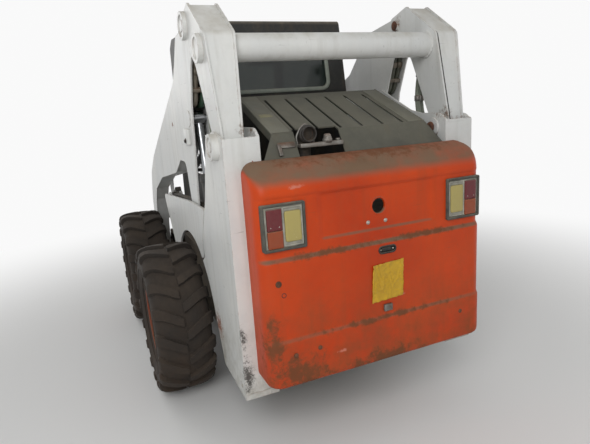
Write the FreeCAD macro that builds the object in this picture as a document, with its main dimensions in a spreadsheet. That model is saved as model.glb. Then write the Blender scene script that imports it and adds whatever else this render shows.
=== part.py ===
import FreeCAD, Part
import math
import os
import re

from FreeCAD import Placement, Rotation, Vector

# Skid steer loader with a vertical lift path.
# Millimetres and degrees. +X points forward, +Y to the left and +Z up.
# Every sub-part is drawn about the middle of the wheelbase at floor level, and its
# Placement then moves it so that the origin lies under the middle of the machine.

# Driving sizes: name, value, what it measures
SIZES = (
    ("wheelbase", 1152, "front axle to rear axle"),
    ("tyre_radius", 420, "to the tips of the lugs"),
    ("tyre_inner", 615, "inner side of a tyre from the centre plane"),
    ("tyre_width", 305, "across a tyre"),
    ("carcass_radius", 396, "tyre without its lugs"),
    ("lug_thickness", 46, "a lug along the tread"),
    ("lug_inset", 4, "a lug's inner end from the tyre's middle"),
    ("lug_skew", 17, "how far a lug slants, degrees"),
    ("rim_radius", 208, "seat of the tyre's beads"),
    ("rim_lip", 228, "edge of the rim"),
    ("rim_depth", 235, "across the rim between its lips"),
    ("rim_wall", 6, "thickness of the rim's plate"),
    ("disc_offset", 92, "rim's disc from the inner lip"),
    ("hub_radius", 88, "hub behind the disc"),
    ("stub_radius", 60, "axle housing that carries a hub"),
    ("running_gap", 0.3, "between pieces that turn beside each other"),
    ("fit", 0.05, "running fit of a pin in its bore"),
    ("belly", 206, "ground clearance"),
    ("chassis_half", 464, "half width of the chassis"),
    ("chassis_wall", 10, "side plates of the chassis"),
    ("chassis_nose", 905, "front of the chassis"),
    ("nose_rise", 300, "foot of the sloping nose"),
    ("step_height", 450, "floor of the foot well"),
    ("sill_height", 500, "top of the sides beside the foot well"),
    ("tub_height", 640, "deck under the cab"),
    ("well_back", 500, "back of the foot well"),
    ("firewall", 640, "engine bay's front wall behind the middle"),
    ("firewall_top", 1000, "top of the firewall"),
    ("belly_break", 1000, "where the belly starts to rise, behind the middle"),
    ("tail_rise", 306, "height of the belly at the back"),
    ("post_back", 1452, "rear face of the uprights, behind the middle"),
    ("post_outer", 620, "outer face of the uprights"),
    ("post_plate", 12, "plates of the uprights"),
    ("post_top", 1439, "rear plate's top edge"),
    ("arch_radius", 470, "wheel arch about the rear axle"),
    ("bay_front", 860, "front edge of the engine bay's side plates"),
    ("link_foot_x", -1360, "lower pivot of the rear links"),
    ("link_foot_z", 1405, "lower pivot of the rear links"),
    ("link_head_x", -1035, "upper pivot of the rear links"),
    ("link_head_z", 1920, "upper pivot of the rear links"),
    ("link_inner", 490, "inner face of a rear link at its top"),
    ("link_outer", 624, "outer face of a rear link at its top"),
    ("link_taper_inner", 29, "how much the inner face draws in at the foot"),
    ("link_taper_outer", 21, "how much the outer face draws in at the foot"),
    ("link_plate", 10, "side plates of the rear links"),
    ("link_cover_set", 7, "cover plate inside the edges of the side plates"),
    ("tube_x", -1265, "axis of the cross tube"),
    ("tube_z", 1797, "axis of the cross tube"),
    ("tube_radius", 58, "cross tube"),
    ("tube_wall", 8, "cross tube"),
    ("arm_inner", 507, "inner face of a lift arm"),
    ("arm_outer", 602, "outer face of a lift arm"),
    ("arm_plate", 8, "plates of a lift arm"),
    ("track_link_x", 120, "front pivot of the control links"),
    ("track_link_z", 985, "front pivot of the control links"),
    ("leg_x", -740, "pivot at the foot of the arm's leg"),
    ("leg_z", 1040, "pivot at the foot of the arm's leg"),
    ("leg_radius", 74, "rounded foot of the leg"),
    ("lift_foot_x", -1020, "lower pin of the lift cylinders"),
    ("lift_foot_z", 620, "lower pin of the lift cylinders"),
    ("lift_eye_x", -810, "upper pin of the lift cylinders"),
    ("lift_eye_z", 1520, "upper pin of the lift cylinders"),
    ("lift_barrel_radius", 34, "lift cylinder's barrel"),
    ("lift_barrel_length", 640, "from the lower pin to the gland"),
    ("lift_rod_radius", 21, "lift cylinder's rod"),
    ("tilt_set", 530, "upper pin of the tilt cylinders behind the coupler's pivot"),
    ("tilt_pin_z", 965, "upper pin of the tilt cylinders"),
    ("tilt_crank", 210, "lower pin of the tilt cylinders above the coupler's pivot"),
    ("rollback", 30, "how far the coupler leans back as it parks, degrees"),
    ("tilt_line", 462, "tilt cylinders from the centre plane"),
    ("tilt_barrel_radius", 29, "tilt cylinder's barrel"),
    ("tilt_barrel_length", 500, "from the upper pin to the gland"),
    ("tilt_rod_radius", 17, "tilt cylinder's rod"),
    ("coupler_lead", 175, "pivot of the coupler in front of the chassis"),
    ("nose_pin_z", 222, "pivot of the coupler"),
    ("pin_radius", 20, "linkage pins"),
    ("head_pin_radius", 25, "pins of the rear links' upper pivots"),
    ("coupler_set", 76, "coupler's front face from its pivot"),
    ("coupler_half", 498, "half width of the coupler"),
    ("coupler_foot_half", 560, "half width of the coupler's foot"),
    ("coupler_strip", 70, "height of the coupler's wide foot"),
    ("coupler_top", 600, "top edge of the coupler"),
    ("coupler_foot", 130, "bottom edge of the coupler"),
    ("coupler_plate", 12, "plate of the coupler"),
    ("member_set", 105, "front cross member behind the coupler's pivot"),
    ("member_z", 745, "front cross member between the arms"),
    ("member_side", 110, "front cross member, square"),
    ("member_wall", 8, "front cross member"),
    ("cab_half", 415, "half width of the cab"),
    ("cab_wall", 30, "posts and walls of the cab"),
    ("cab_floor", 655, "underside of the cab"),
    ("cab_roof", 2062, "top of the cab"),
    ("cab_front", 560, "front of the cab at its widest"),
    ("cab_back", 611, "rear wall of the cab, behind the middle"),
    ("cab_back_top", 549, "rear wall's top edge, behind the middle"),
    ("roof_fall", 33, "fall of the roof towards the back"),
    ("waist", 1630, "where the cab's rear wall starts to lean"),
    ("window_head", 112, "rear window below the roof"),
    ("window_half", 300, "half width of the rear window"),
    ("window_corner", 50, "rounded corners of the cab's windows"),
    ("screen_sill", 1130, "lower edge of the side windows"),
    ("screen_head", 132, "side windows below the roof"),
    ("window_gap", 0.3, "round the glass in its frame"),
    ("glass_sheet", 6, "cab glass"),
    ("cab_pin_x", 580, "hinge line of the cab, behind the middle"),
    ("cab_pin_z", 1500, "hinge line of the cab"),
    ("cab_pin_radius", 12, "hinge pins of the cab"),
    ("seat_back", 360, "back of the seat, behind the middle"),
    ("seat_front", 120, "front of the seat"),
    ("seat_height", 930, "where the cushion lies"),
    ("seat_half", 210, "half width of the cushion"),
    ("lever_x", 290, "control levers"),
    ("lever_y", 220, "control levers from the centre plane"),
    ("lever_top", 1020, "top of the levers' columns"),
    ("bar_pin_x", -520, "hinge line of the seat bar"),
    ("bar_pin_z", 1480, "hinge line of the seat bar"),
    ("bar_reach_x", 350, "cross piece of the seat bar"),
    ("bar_reach_z", 1134, "cross piece of the seat bar"),
    ("tie_hole_x", 1400, "tie-down hole in an upright, behind the middle"),
    ("tie_hole_z", 362, "tie-down hole in an upright"),
    ("tie_hole_radius", 16, "tie-down hole in an upright"),
    ("hood_front_x", 841, "hood's front edge, behind the middle"),
    ("hood_front_z", 1600, "hood's front edge"),
    ("hood_bend_x", 970, "where the hood's slope starts, behind the middle"),
    ("hood_bend_z", 1606, "where the hood's slope starts"),
    ("hood_knee_x", 1392, "where the hood turns down, behind the middle"),
    ("hood_knee_z", 1437, "where the hood turns down"),
    ("hood_back_x", 1447, "hood's rear edge, behind the middle"),
    ("hood_back_z", 1339, "hood's rear edge"),
    ("hood_half", 390, "half width of the hood"),
    ("hood_foot_half", 455, "half width of the hood's rear edge"),
    ("hood_sheet", 6, "hood's plate"),
    ("hood_pin_x", 885, "hinge line of the hood, behind the middle"),
    ("hood_pin_z", 1577, "hinge line of the hood"),
    ("hood_pin_radius", 8, "hinge pins of the hood"),
    ("hood_flange", 30, "turned down sides of the hood"),
    ("notch_front", 1360, "front of the exhaust's notch, behind the middle"),
    ("notch_inner", 75, "exhaust's notch from the centre plane"),
    ("notch_outer", 290, "exhaust's notch from the centre plane"),
    ("slot_width", 14, "slots of the hood"),
    ("slot_pitch", 109, "slots of the hood"),
    ("slot_start", 59, "from the hood's bend"),
    ("slot_end", 444, "from the hood's bend"),
    ("door_half", 555, "half width of the tailgate"),
    ("door_top", 1340, "top of the tailgate"),
    ("door_foot", 404, "bottom of the tailgate"),
    ("door_upper", 1588, "rear face above the upper ledge, behind the middle"),
    ("door_middle", 1600, "rear face between the ledges, behind the middle"),
    ("tail", 1612, "rear face below the lower ledge, behind the middle"),
    ("door_sheet", 6, "tailgate's plate"),
    ("door_pin_x", 1462, "hinge line of the tailgate, behind the middle"),
    ("door_pin_y", 562, "hinge line of the tailgate, on the right"),
    ("door_pin_radius", 5, "hinge pins of the tailgate"),
    ("knuckle_radius", 9, "knuckles of the tailgate's hinges"),
    ("knuckle_length", 60, "knuckles of the tailgate's hinges"),
    ("knuckle_low", 560, "lower hinge of the tailgate"),
    ("knuckle_high", 1130, "upper hinge of the tailgate"),
    ("door_corner", 52, "rounded corners of the tailgate"),
    ("door_roll", 128, "roll of the tailgate's top"),
    ("door_seat", 0.3, "between the tailgate and the uprights"),
    ("ledge_upper", 956, "upper ledge of the tailgate"),
    ("ledge_lower", 613, "lower ledge of the tailgate"),
    ("panel_half", 280, "half width of the recessed panel"),
    ("panel_foot", 1014, "bottom of the recessed panel"),
    ("panel_top", 1226, "top of the recessed panel"),
    ("panel_depth", 7, "recessed panel"),
    ("lamp_inner", 347, "inner side of a lamp"),
    ("lamp_outer", 538, "outer side of a lamp"),
    ("lamp_foot", 993, "bottom of a lamp"),
    ("lamp_height", 195, "a lamp from bottom to top"),
    ("lamp_stand", 14, "how far a lamp stands proud"),
    ("lamp_rim", 12, "rim round the lenses"),
    ("key_hole_radius", 33, "round hole in the tailgate"),
    ("key_hole_z", 1112, "round hole in the tailgate"),
    ("latch_z", 919, "latch slot"),
    ("latch_y", -26, "latch slot from the centre plane"),
    ("latch_length", 86, "latch slot"),
    ("latch_height", 32, "latch slot"),
    ("engine_half", 260, "half width of the engine"),
    ("engine_top", 1050, "top of the engine"),
    ("engine_front", 760, "front of the engine, behind the middle"),
    ("engine_back", 1424, "back of the engine, behind the middle"),
    ("pipe_x", 1375, "exhaust's upright part, behind the middle"),
    ("pipe_y", 242, "exhaust pipe"),
    ("pipe_radius", 33, "exhaust pipe"),
    ("pipe_wall", 4, "exhaust pipe"),
    ("pipe_bend", 45, "middle line of the exhaust's elbow"),
    ("mouth_x", 1450, "exhaust's mouth, behind the middle"),
    ("mouth_z", 1429, "axis of the exhaust's mouth"),
    ("boss_stand", 30, "how far the bosses of the uprights stand out"),
    ("nut_circle", 82, "wheel nuts about the axle"),
    ("nut_size", 16, "a wheel nut from its middle to a corner"),
)

# Places that follow from other sizes: name, formula, what it measures
LINKED = (
    ("nose_pin_x", "chassis_nose + coupler_lead", "pivot of the coupler"),
    ("nose", "nose_pin_x + coupler_set", "front face of the coupler when it stands upright"),
    ("member_x", "nose_pin_x - member_set", "front cross member between the arms"),
    ("tilt_pin_x", "nose_pin_x - tilt_set", "upper pin of the tilt cylinders"),
    ("lamp_top", "lamp_foot + lamp_height", "top of a lamp"),
    ("tyre_middle", "tyre_inner + tyre_width / 2", "middle of a tyre from the centre plane"),
    ("window_top", "cab_roof - window_head", "upper edge of the rear window"),
)

# Counts: lugs on each side of a tyre, flats round it, wheel nuts, slots of the hood
LUGS = 18
FLATS = 20
NUTS = 8
SLOTS = 6

doc = FreeCAD.newDocument("skid_steer_loader")
sheet = doc.addObject("Spreadsheet::Sheet", "Sizes")
formulas = tuple((name, f"={formula}", note) for name, formula, note in LINKED)
for row, (name, value, note) in enumerate(SIZES + formulas, start=1):
    sheet.set(f"A{row}", name)
    sheet.set(f"B{row}", str(value))
    sheet.set(f"C{row}", note)
    sheet.setAlias(f"B{row}", name)
doc.recompute()


class Sheet:
    # v.tyre_radius reads the cell of that name
    def __getattr__(self, name):
        return float(sheet.get(name))


v = Sheet()
lean = math.radians(v.rollback)
foot_reach = math.hypot(v.nose - v.nose_pin_x, v.nose_pin_z - v.coupler_foot)
foot_angle = math.atan2(v.coupler_foot - v.nose_pin_z, v.nose - v.nose_pin_x)
front_reach = v.nose_pin_x + foot_reach * math.cos(foot_angle + lean)
datum = (v.tail - front_reach) / 2
tilt_eye_x = v.nose_pin_x - v.tilt_crank * math.sin(lean)
tilt_eye_z = v.nose_pin_z + v.tilt_crank * math.cos(lean)
rear_axle = -v.wheelbase / 2
front_axle = v.wheelbase / 2
subparts = {}


def bind(item, **properties):
    # sizes and places as formulas of the sheet's names, one double underscore for each dot
    for name, formula in properties.items():
        words = re.sub(r"\b([a-z]\w+)\b", r"Sizes.\1", str(formula))
        item.setExpression(name.replace("__", "."), words)
    return item


def box(x0, x1, y0, y1, z0, z1):
    item = doc.addObject("Part::Box", "box")
    return bind(item, Length=f"({x1}) - ({x0})", Width=f"({y1}) - ({y0})", Height=f"({z1}) - ({z0})",
                Placement__Base__x=x0, Placement__Base__y=y0, Placement__Base__z=z0)


def cylinder(radius, x, z, y0, y1):
    # a round bar across the machine, from y0 to y1
    item = doc.addObject("Part::Cylinder", "bar")
    item.Placement = Placement(Vector(), Rotation(Vector(1, 0, 0), -90))
    return bind(item, Radius=radius, Height=f"({y1}) - ({y0})",
                Placement__Base__x=x, Placement__Base__y=y0, Placement__Base__z=z)


def edges_of(points):
    # points of a closed outline: (a, b), (a, b, corner radius), or (a, b, "via") on an arc
    corners = []
    count = len(points)
    for i, point in enumerate(points):
        here = Vector(point[0], point[1], 0)
        radius = point[2] if len(point) > 2 else 0
        if radius == "via" or not radius:
            corners.append((here, None, here, radius))
            continue
        before = (Vector(points[i - 1][0], points[i - 1][1], 0) - here).normalize()
        after = (Vector(points[(i + 1) % count][0], points[(i + 1) % count][1], 0) - here).normalize()
        half = before.getAngle(after) / 2
        start = here + before * (radius / math.tan(half))
        end = here + after * (radius / math.tan(half))
        middle = here + (before + after).normalize() * (radius / math.sin(half) - radius)
        corners.append((start, middle, end, radius))
    edges = []
    for i, (start, middle, end, radius) in enumerate(corners):
        if middle is not None:
            edges.append(Part.Arc(start, middle, end))
        if radius == "via":
            continue
        following, _, _, kind = corners[(i + 1) % count]
        if kind == "via":
            edges.append(Part.Arc(end, following, corners[(i + 2) % count][0]))
        elif (following - end).Length > 1e-6:
            edges.append(Part.LineSegment(end, following))
    return edges


def body_with(plane, points, offset):
    # a body with one sketch on an origin plane, moved along the plane's normal
    body = doc.addObject("PartDesign::Body", "body")
    support = next(f for f in body.Origin.OriginFeatures if f.Role == plane)
    sketch = body.newObject("Sketcher::SketchObject", "outline")
    sketch.AttachmentSupport = [(support, "")]
    sketch.MapMode = "FlatFace"
    sketch.addGeometry(edges_of(points), False)
    bind(sketch, AttachmentOffset__Base__z=offset)
    return body, sketch


def pad(plane, points, offset, thickness):
    body, sketch = body_with(plane, points, offset)
    feature = body.newObject("PartDesign::Pad", "pad")
    feature.Profile = sketch
    bind(feature, Length=thickness)
    body.Tip = feature
    return body


def side_plate(points, y0, y1):
    # an outline in X and Z, from y0 to y1; the plane's normal points to -Y
    return pad("XZ_Plane", points, f"-({y1})", f"({y1}) - ({y0})")


def plan_plate(points, z0, z1):
    return pad("XY_Plane", points, z0, f"({z1}) - ({z0})")


def cross_plate(points, x0, x1):
    # an outline in Y and Z, from x0 to x1
    return pad("YZ_Plane", points, x0, f"({x1}) - ({x0})")


def turned(points):
    # an outline of (radius, y) turned about the Y axis
    body, sketch = body_with("XY_Plane", points, "0")
    feature = body.newObject("PartDesign::Revolution", "turn")
    feature.Profile = sketch
    feature.ReferenceAxis = (sketch, ["V_Axis"])
    feature.Angle = 360
    body.Tip = feature
    return body


def fuse(*items):
    item = doc.addObject("Part::MultiFuse", "fuse")
    item.Shapes = list(items)
    return item


def cut(base, *tools):
    item = doc.addObject("Part::Cut", "cut")
    item.Base = base
    item.Tool = tools[0] if len(tools) == 1 else fuse(*tools)
    return item


def common(*items):
    item = doc.addObject("Part::MultiCommon", "common")
    item.Shapes = list(items)
    return item


def mirrored(item):
    copy = doc.addObject("Part::Mirroring", "mirror")
    copy.Source = item
    copy.Normal = Vector(0, 1, 0)
    return copy


def both(item):
    return [item, mirrored(item)]


def compound(*items):
    item = doc.addObject("Part::Compound", "set")
    item.Links = list(items)
    return item


def offer(name, *items):
    # a finished sub-part; its Placement moves it from the wheelbase's middle to the origin
    whole = compound(*items)
    whole.Label = name
    whole.Placement = Placement(Vector(datum, 0, 0), Rotation())
    subparts[name] = whole


def offer_pair(name, item):
    offer(f"{name}_left", item)
    offer(f"{name}_right", mirrored(item))


def ribbon(points, thickness):
    # a bent sheet seen from the side: its outer face, then the same points one thickness below
    low = []
    for i, (x, z) in enumerate(points):
        runs = [(Vector(*points[k + 1], 0) - Vector(*points[k], 0)).normalize()
                for k in (i - 1, i) if 0 <= k < len(points) - 1]
        normals = [Vector(-run.y, run.x, 0) for run in runs]
        middle = sum(normals, Vector()).normalize()
        reach = thickness / middle.dot(normals[0])
        low.append((x - middle.x * reach, z - middle.y * reach))
    return list(points) + low[::-1]


def ringed(radius, x, z, y0, y1, recess=6):
    # a round boss with a hollow face at y1
    hollow = cylinder(f"({radius}) - 14", x, z, f"({y1}) - {recess}", f"({y1}) + 5")
    return cut(cylinder(radius, x, z, y0, y1), hollow)


def shifted(pivot, points):
    # an outline's points, given from a pivot
    return [(pivot[0] + point[0], pivot[1] + point[1]) + tuple(point[2:]) for point in points]


def chassis():
    # tub under the cab, engine bay with its belly, firewall and axle housings
    deck = side_plate([
        (-v.firewall, v.belly), (v.chassis_nose - 145, v.belly), (v.chassis_nose, v.nose_rise),
        (v.chassis_nose, v.step_height), (v.well_back, v.step_height),
        (v.well_back, v.tub_height), (-v.firewall, v.tub_height)], "-chassis_half", "chassis_half")
    back = -v.post_back + v.post_plate
    belly = side_plate([
        (-v.firewall, v.belly), (-v.belly_break, v.belly), (back, v.tail_rise),
        (back, v.tail_rise + v.chassis_wall), (-v.belly_break, v.belly + v.chassis_wall),
        (-v.firewall, v.belly + v.chassis_wall)],
        "-chassis_half + chassis_wall", "chassis_half - chassis_wall")
    bay_side = side_plate([
        (-v.firewall, v.belly), (-v.belly_break, v.belly), (back, v.tail_rise),
        (back, v.firewall_top - 100), (-v.firewall, v.firewall_top)],
        "chassis_half - chassis_wall", "chassis_half")
    sill = side_plate([
        (v.well_back, v.step_height), (v.chassis_nose, v.step_height),
        (v.chassis_nose - 85, v.sill_height, 20), (v.well_back, v.sill_height)],
        "chassis_half - chassis_wall", "chassis_half")
    wall = box("-firewall", "-firewall + chassis_wall", "-chassis_half", "chassis_half",
               "tub_height", "firewall_top")
    housings = []
    for side in ("-wheelbase / 2", "wheelbase / 2"):
        stub_end = "tyre_inner + (tyre_width - rim_depth) / 2 + disc_offset - 34"
        housings += both(cylinder("stub_radius", side, "tyre_radius", "chassis_half", stub_end))
    offer("chassis", fuse(deck, belly, wall, *both(bay_side), *both(sill), *housings))


def arch(degrees, radius):
    # a point on the wheel arch, measured up from the rear
    angle = math.radians(degrees)
    return (rear_axle - radius * math.cos(angle), v.tyre_radius + radius * math.sin(angle))


def upright_bar(radius, low, high):
    # a round bar on the tailgate's hinge line
    item = doc.addObject("Part::Cylinder", "bar")
    return bind(item, Radius=radius, Height=f"({high}) - ({low})", Placement__Base__x="-door_pin_x",
                Placement__Base__y="-door_pin_y", Placement__Base__z=low)


def uprights():
    # a box post: outer plate round the wheel arch, inner plate beside the engine, rear plate
    foot = (-v.post_back, v.tail_rise)
    pivot = (v.link_foot_x, v.link_foot_z)
    outer = side_plate([
        foot, (rear_axle - v.arch_radius - 76, v.tail_rise + 22), arch(13, v.arch_radius),
        arch(33, v.arch_radius) + ("via",), arch(53, v.arch_radius), (-v.bay_front - 58, 829),
        (-v.bay_front - 68, 947, 40),
        *shifted(pivot, [(301, -260, 60), (235, -113, 60), (159, 33, 20), (37, 63, 60)]),
        (-v.post_back, v.post_top, 12)], "post_outer - post_plate", "post_outer")
    inner = side_plate([
        foot, (-v.bay_front, v.tail_rise), (-v.bay_front, v.cab_pin_z - 90, 40),
        (-v.cab_pin_x + 32, v.cab_pin_z - 34, 30), (-v.cab_pin_x + 32, v.cab_pin_z + 34, 30),
        (-v.bay_front, v.cab_pin_z + 50, 40), (-v.bay_front, v.hood_bend_z - 11, 20),
        (-v.bay_front - 60, v.hood_bend_z - 3, 30),
        *shifted(pivot, [(313, 139, 200), (182, 83, 120), (95, 67, 80), (-51, 66, 60)]),
        (-v.post_back, v.post_top, 10)], "chassis_half", "chassis_half + post_plate")
    rear = box("-post_back", "-post_back + post_plate", "chassis_half + post_plate",
               "post_outer - post_plate", "tail_rise", "post_top")
    foot_pin = cylinder("pin_radius", "link_foot_x", "link_foot_z", "chassis_half - 14",
                        "post_outer + boss_stand - 2")
    outer_boss = ringed("pin_radius + 35", "link_foot_x", "link_foot_z", "post_outer",
                        "post_outer + boss_stand")
    inner_boss = cylinder("pin_radius + 24", "link_foot_x", "link_foot_z",
                          "chassis_half - 10", "chassis_half")
    lift_pin = cylinder("pin_radius", "lift_foot_x", "lift_foot_z", "chassis_half + post_plate",
                   "post_outer - post_plate")
    hood_pin = cylinder("hood_pin_radius", "-hood_pin_x", "hood_pin_z", "hood_half - hood_sheet - 8",
                        "chassis_half")
    cab_pin = cylinder("cab_pin_radius", "-cab_pin_x", "cab_pin_z", "cab_half - 15 + running_gap",
                       "chassis_half")
    cab_boss = cylinder("cab_pin_radius + 14", "-cab_pin_x", "cab_pin_z", "cab_half + running_gap",
                        "chassis_half")
    tie_hole = cylinder("tie_hole_radius", "-tie_hole_x", "tie_hole_z", "post_outer - post_plate - 1",
                        "post_outer + 1")
    post = cut(fuse(outer, inner, rear, foot_pin, outer_boss, inner_boss, lift_pin, hood_pin, cab_pin,
                    cab_boss), tie_hole)
    offer("upright_left", post)
    leaves = []
    for height in ("knuckle_low", "knuckle_high"):
        for low, high in ((f"{height} - knuckle_length / 2 - running_gap - 24",
                           f"{height} - knuckle_length / 2 - running_gap"),
                          (f"{height} + knuckle_length / 2 + running_gap",
                           f"{height} + knuckle_length / 2 + running_gap + 24")):
            leaves.append(box("-door_pin_x", "-post_back", "-door_pin_y - knuckle_radius",
                              "-door_pin_y + knuckle_radius - 2.5", low, high))
            leaves.append(upright_bar("knuckle_radius - 2.5", low, high))
        leaves.append(upright_bar("door_pin_radius", f"{height} - knuckle_length / 2 - 20",
                                  f"{height} + knuckle_length / 2 + 20"))
    offer("upright_right", fuse(mirrored(post), *leaves))


def fenders():
    # plate between the wheels with its shelf, and the lugs that carry the control links
    front = v.track_link_x + 90
    plate = side_plate([
        arch(55, v.arch_radius + 2), arch(90, v.arch_radius + 2) + ("via",), arch(141, v.arch_radius + 2),
        (front - 260, v.tyre_radius + 280, 30), (front, 1012, 30), (-640, 1082, 60), (-1010, 1092, 20),
        (-921, 950, 30)],
        "post_outer - post_plate", "post_outer")
    shelf = box("-wheelbase / 2 + 60", "track_link_x + 62", "chassis_half",
                "post_outer - post_plate", "2 * tyre_radius + 52", "2 * tyre_radius + 60")
    base = 2 * v.tyre_radius + 56
    lug = [(v.track_link_x - 60, base), (v.track_link_x + 60, base),
           (v.track_link_x + 42, v.track_link_z + 42, 40), (v.track_link_x - 42, v.track_link_z + 42, 40)]
    lugs = [side_plate(lug, y0, y1) for y0, y1 in (("arm_inner + 6", "arm_inner + 16"),
                                                   ("arm_outer - 16", "arm_outer - 6"))]
    link_pin = cylinder("pin_radius", "track_link_x", "track_link_z", "arm_inner + 10", "arm_outer - 10")
    offer_pair("fender", fuse(plate, shelf, link_pin, *lugs))


def engine():
    back = -v.engine_back
    slope = (v.tail_rise - v.belly) / (v.post_back - v.post_plate - v.belly_break)
    low = v.belly + v.chassis_wall
    block = side_plate([
        (-v.engine_front, low), (-v.belly_break, low), (back, low + (v.engine_back - v.belly_break) * slope),
        (back, v.engine_top, 30), (-v.engine_front, v.engine_top, 30)], "-engine_half", "engine_half")
    offer("engine_block", block)


def exhaust():
    # up from the engine, then bent to the rear through the hood's notch
    column = doc.addObject("Part::Cylinder", "column")
    bind(column, Radius="pipe_radius", Height="mouth_z - pipe_bend - engine_top",
         Placement__Base__x="-pipe_x", Placement__Base__y="pipe_y", Placement__Base__z="engine_top")
    elbow = doc.addObject("Part::Torus", "elbow")
    elbow.Placement = Placement(Vector(), Rotation(Vector(1, 0, 0), 90))
    bind(elbow, Radius1="pipe_bend", Radius2="pipe_radius", Angle3="90",
         Placement__Base__x="-pipe_x - pipe_bend", Placement__Base__y="pipe_y",
         Placement__Base__z="mouth_z - pipe_bend")
    lengths = []
    for radius, start, end in (("pipe_radius", "-mouth_x", "-pipe_x - pipe_bend"),
                               ("pipe_radius - pipe_wall", "-mouth_x - 5", "-pipe_x - pipe_bend")):
        length = doc.addObject("Part::Cylinder", "length")
        length.Placement = Placement(Vector(), Rotation(Vector(0, 1, 0), 90))
        lengths.append(bind(length, Radius=radius, Height=f"({end}) - ({start})", Placement__Base__x=start,
                            Placement__Base__y="pipe_y", Placement__Base__z="mouth_z"))
    offer("exhaust_pipe", cut(fuse(column, elbow, lengths[0]), lengths[1]))


def cab():
    back = -v.cab_back
    wall = v.cab_wall
    eave = v.cab_roof - v.roof_fall
    outline = [(back, v.cab_floor), (back, v.waist), (-v.cab_back_top, eave, 30),
               (v.cab_front - 180, v.cab_roof, 60), (v.cab_front - 90, v.cab_roof - 52, 30),
               (v.cab_front - 40, v.screen_sill + 150), (v.cab_front, v.tub_height + 260),
               (v.cab_front, v.tub_height + 60), (v.well_back - 40, v.cab_floor)]
    inside = [(back + wall, v.cab_floor + wall), (back + wall, v.waist - 2),
              (-v.cab_back_top + wall, eave - wall, 20), (v.cab_front - 190, v.cab_roof - wall, 40),
              (v.cab_front + 140, v.cab_roof - wall), (v.cab_front + 140, v.cab_floor + wall)]
    shell = side_plate(outline, "-cab_half", "cab_half")
    room = side_plate(inside, "-cab_half + cab_wall", "cab_half - cab_wall")

    def side_pane(gap):
        # outline of a side window, or of the mesh that stands in it with a gap all round
        low, high, corner = v.screen_sill + gap, v.cab_roof - v.screen_head - gap, v.window_corner + 10
        return [(back + 141 + gap, low, corner), (v.cab_front - 130 - gap * 1.7, low, corner),
                (v.cab_front - 200 - gap, high, corner), (back + 181 + gap, high, corner)]

    def rear_pane(gap):
        half, low, high = v.window_half - gap, v.waist + 10 + gap, v.window_top - gap
        corner = v.window_corner
        return cross_plate([(-half, low, corner), (half, low, corner), (half, high, corner),
                            (-half, high, corner)], "-cab_back - 40", "-cab_back + 150")

    side_window = side_plate(side_pane(0), "-cab_half - 10", "cab_half + 10")
    bores = both(cylinder("cab_pin_radius + fit", "-cab_pin_x", "cab_pin_z", "cab_half - 15",
                          "cab_half + 5"))
    offer("cab_frame", cut(shell, room, side_window, rear_pane(0), *bores))
    lean_in = (v.cab_back - v.cab_back_top) / (eave - v.waist)
    rise = v.window_top + 10 - v.waist
    face = back + 12
    slab = side_plate([(face, v.waist), (face + v.glass_sheet, v.waist),
                       (face + v.glass_sheet + rise * lean_in, v.waist + rise),
                       (face + rise * lean_in, v.waist + rise)], "-window_half - 10", "window_half + 10")
    offer("cab_rear_glass", common(slab, rear_pane(v.window_gap)))
    screen = side_plate(side_pane(v.window_gap), "cab_half - 14", "cab_half - 10")
    offer("cab_side_screens", *both(screen))
    base = (-v.seat_back, v.seat_height)
    front = v.seat_front + v.seat_back
    pan = side_plate([
        (-v.seat_back, v.cab_floor + wall), *shifted(base, [(0, -30), (40, 0), (front, 0, 20)]),
        (v.seat_front, v.cab_floor + wall)], "-seat_half - 10", "seat_half + 10")
    cushion = side_plate(shifted(base, [(30, v.running_gap), (front - 10, v.running_gap, 20),
                                        (front - 10, 100, 40), (30, 70, 30)]), "-seat_half", "seat_half")
    rest = side_plate(shifted(base, [(15, 55), (90, 55), (30, 500, 40), (-70, 500, 40)]),
                      "-seat_half", "seat_half")
    offer("seat_pan", pan)
    offer("seat", fuse(cushion, rest))
    column = box("lever_x - 30", "lever_x + 30", "lever_y - 30", "lever_y + 30", "cab_floor + cab_wall",
                 "lever_top")
    grip = doc.addObject("Part::Cylinder", "grip")
    bind(grip, Radius="18", Height="150", Placement__Base__x="lever_x", Placement__Base__y="lever_y",
         Placement__Base__z="lever_top - 5")
    offer("control_levers", *both(fuse(column, grip)))
    arm = side_plate([
        (v.bar_pin_x - 16, v.bar_pin_z - 12, 10), (v.bar_reach_x - 14, v.bar_reach_z - 14, 12),
        (v.bar_reach_x + 14, v.bar_reach_z + 14, 12), (v.bar_pin_x + 6, v.bar_pin_z + 20, 12)],
        "cab_half - cab_wall - 30", "cab_half - cab_wall - 6")
    bar_pin = cylinder("8", "bar_pin_x", "bar_pin_z", "cab_half - cab_wall - 10",
                       "cab_half - cab_wall - running_gap")
    cross = cylinder("13", "bar_reach_x", "bar_reach_z", "-cab_half + cab_wall + 8",
                     "cab_half - cab_wall - 8")
    offer("seat_bar", fuse(cross, *both(arm), *both(bar_pin)))
    panel = box("cab_front - 260", "cab_front - 140", "cab_half - 265", "cab_half - cab_wall",
                "cab_roof - cab_wall - 160", "cab_roof - cab_wall - 20")
    offer("instrument_panels", *both(panel))


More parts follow.
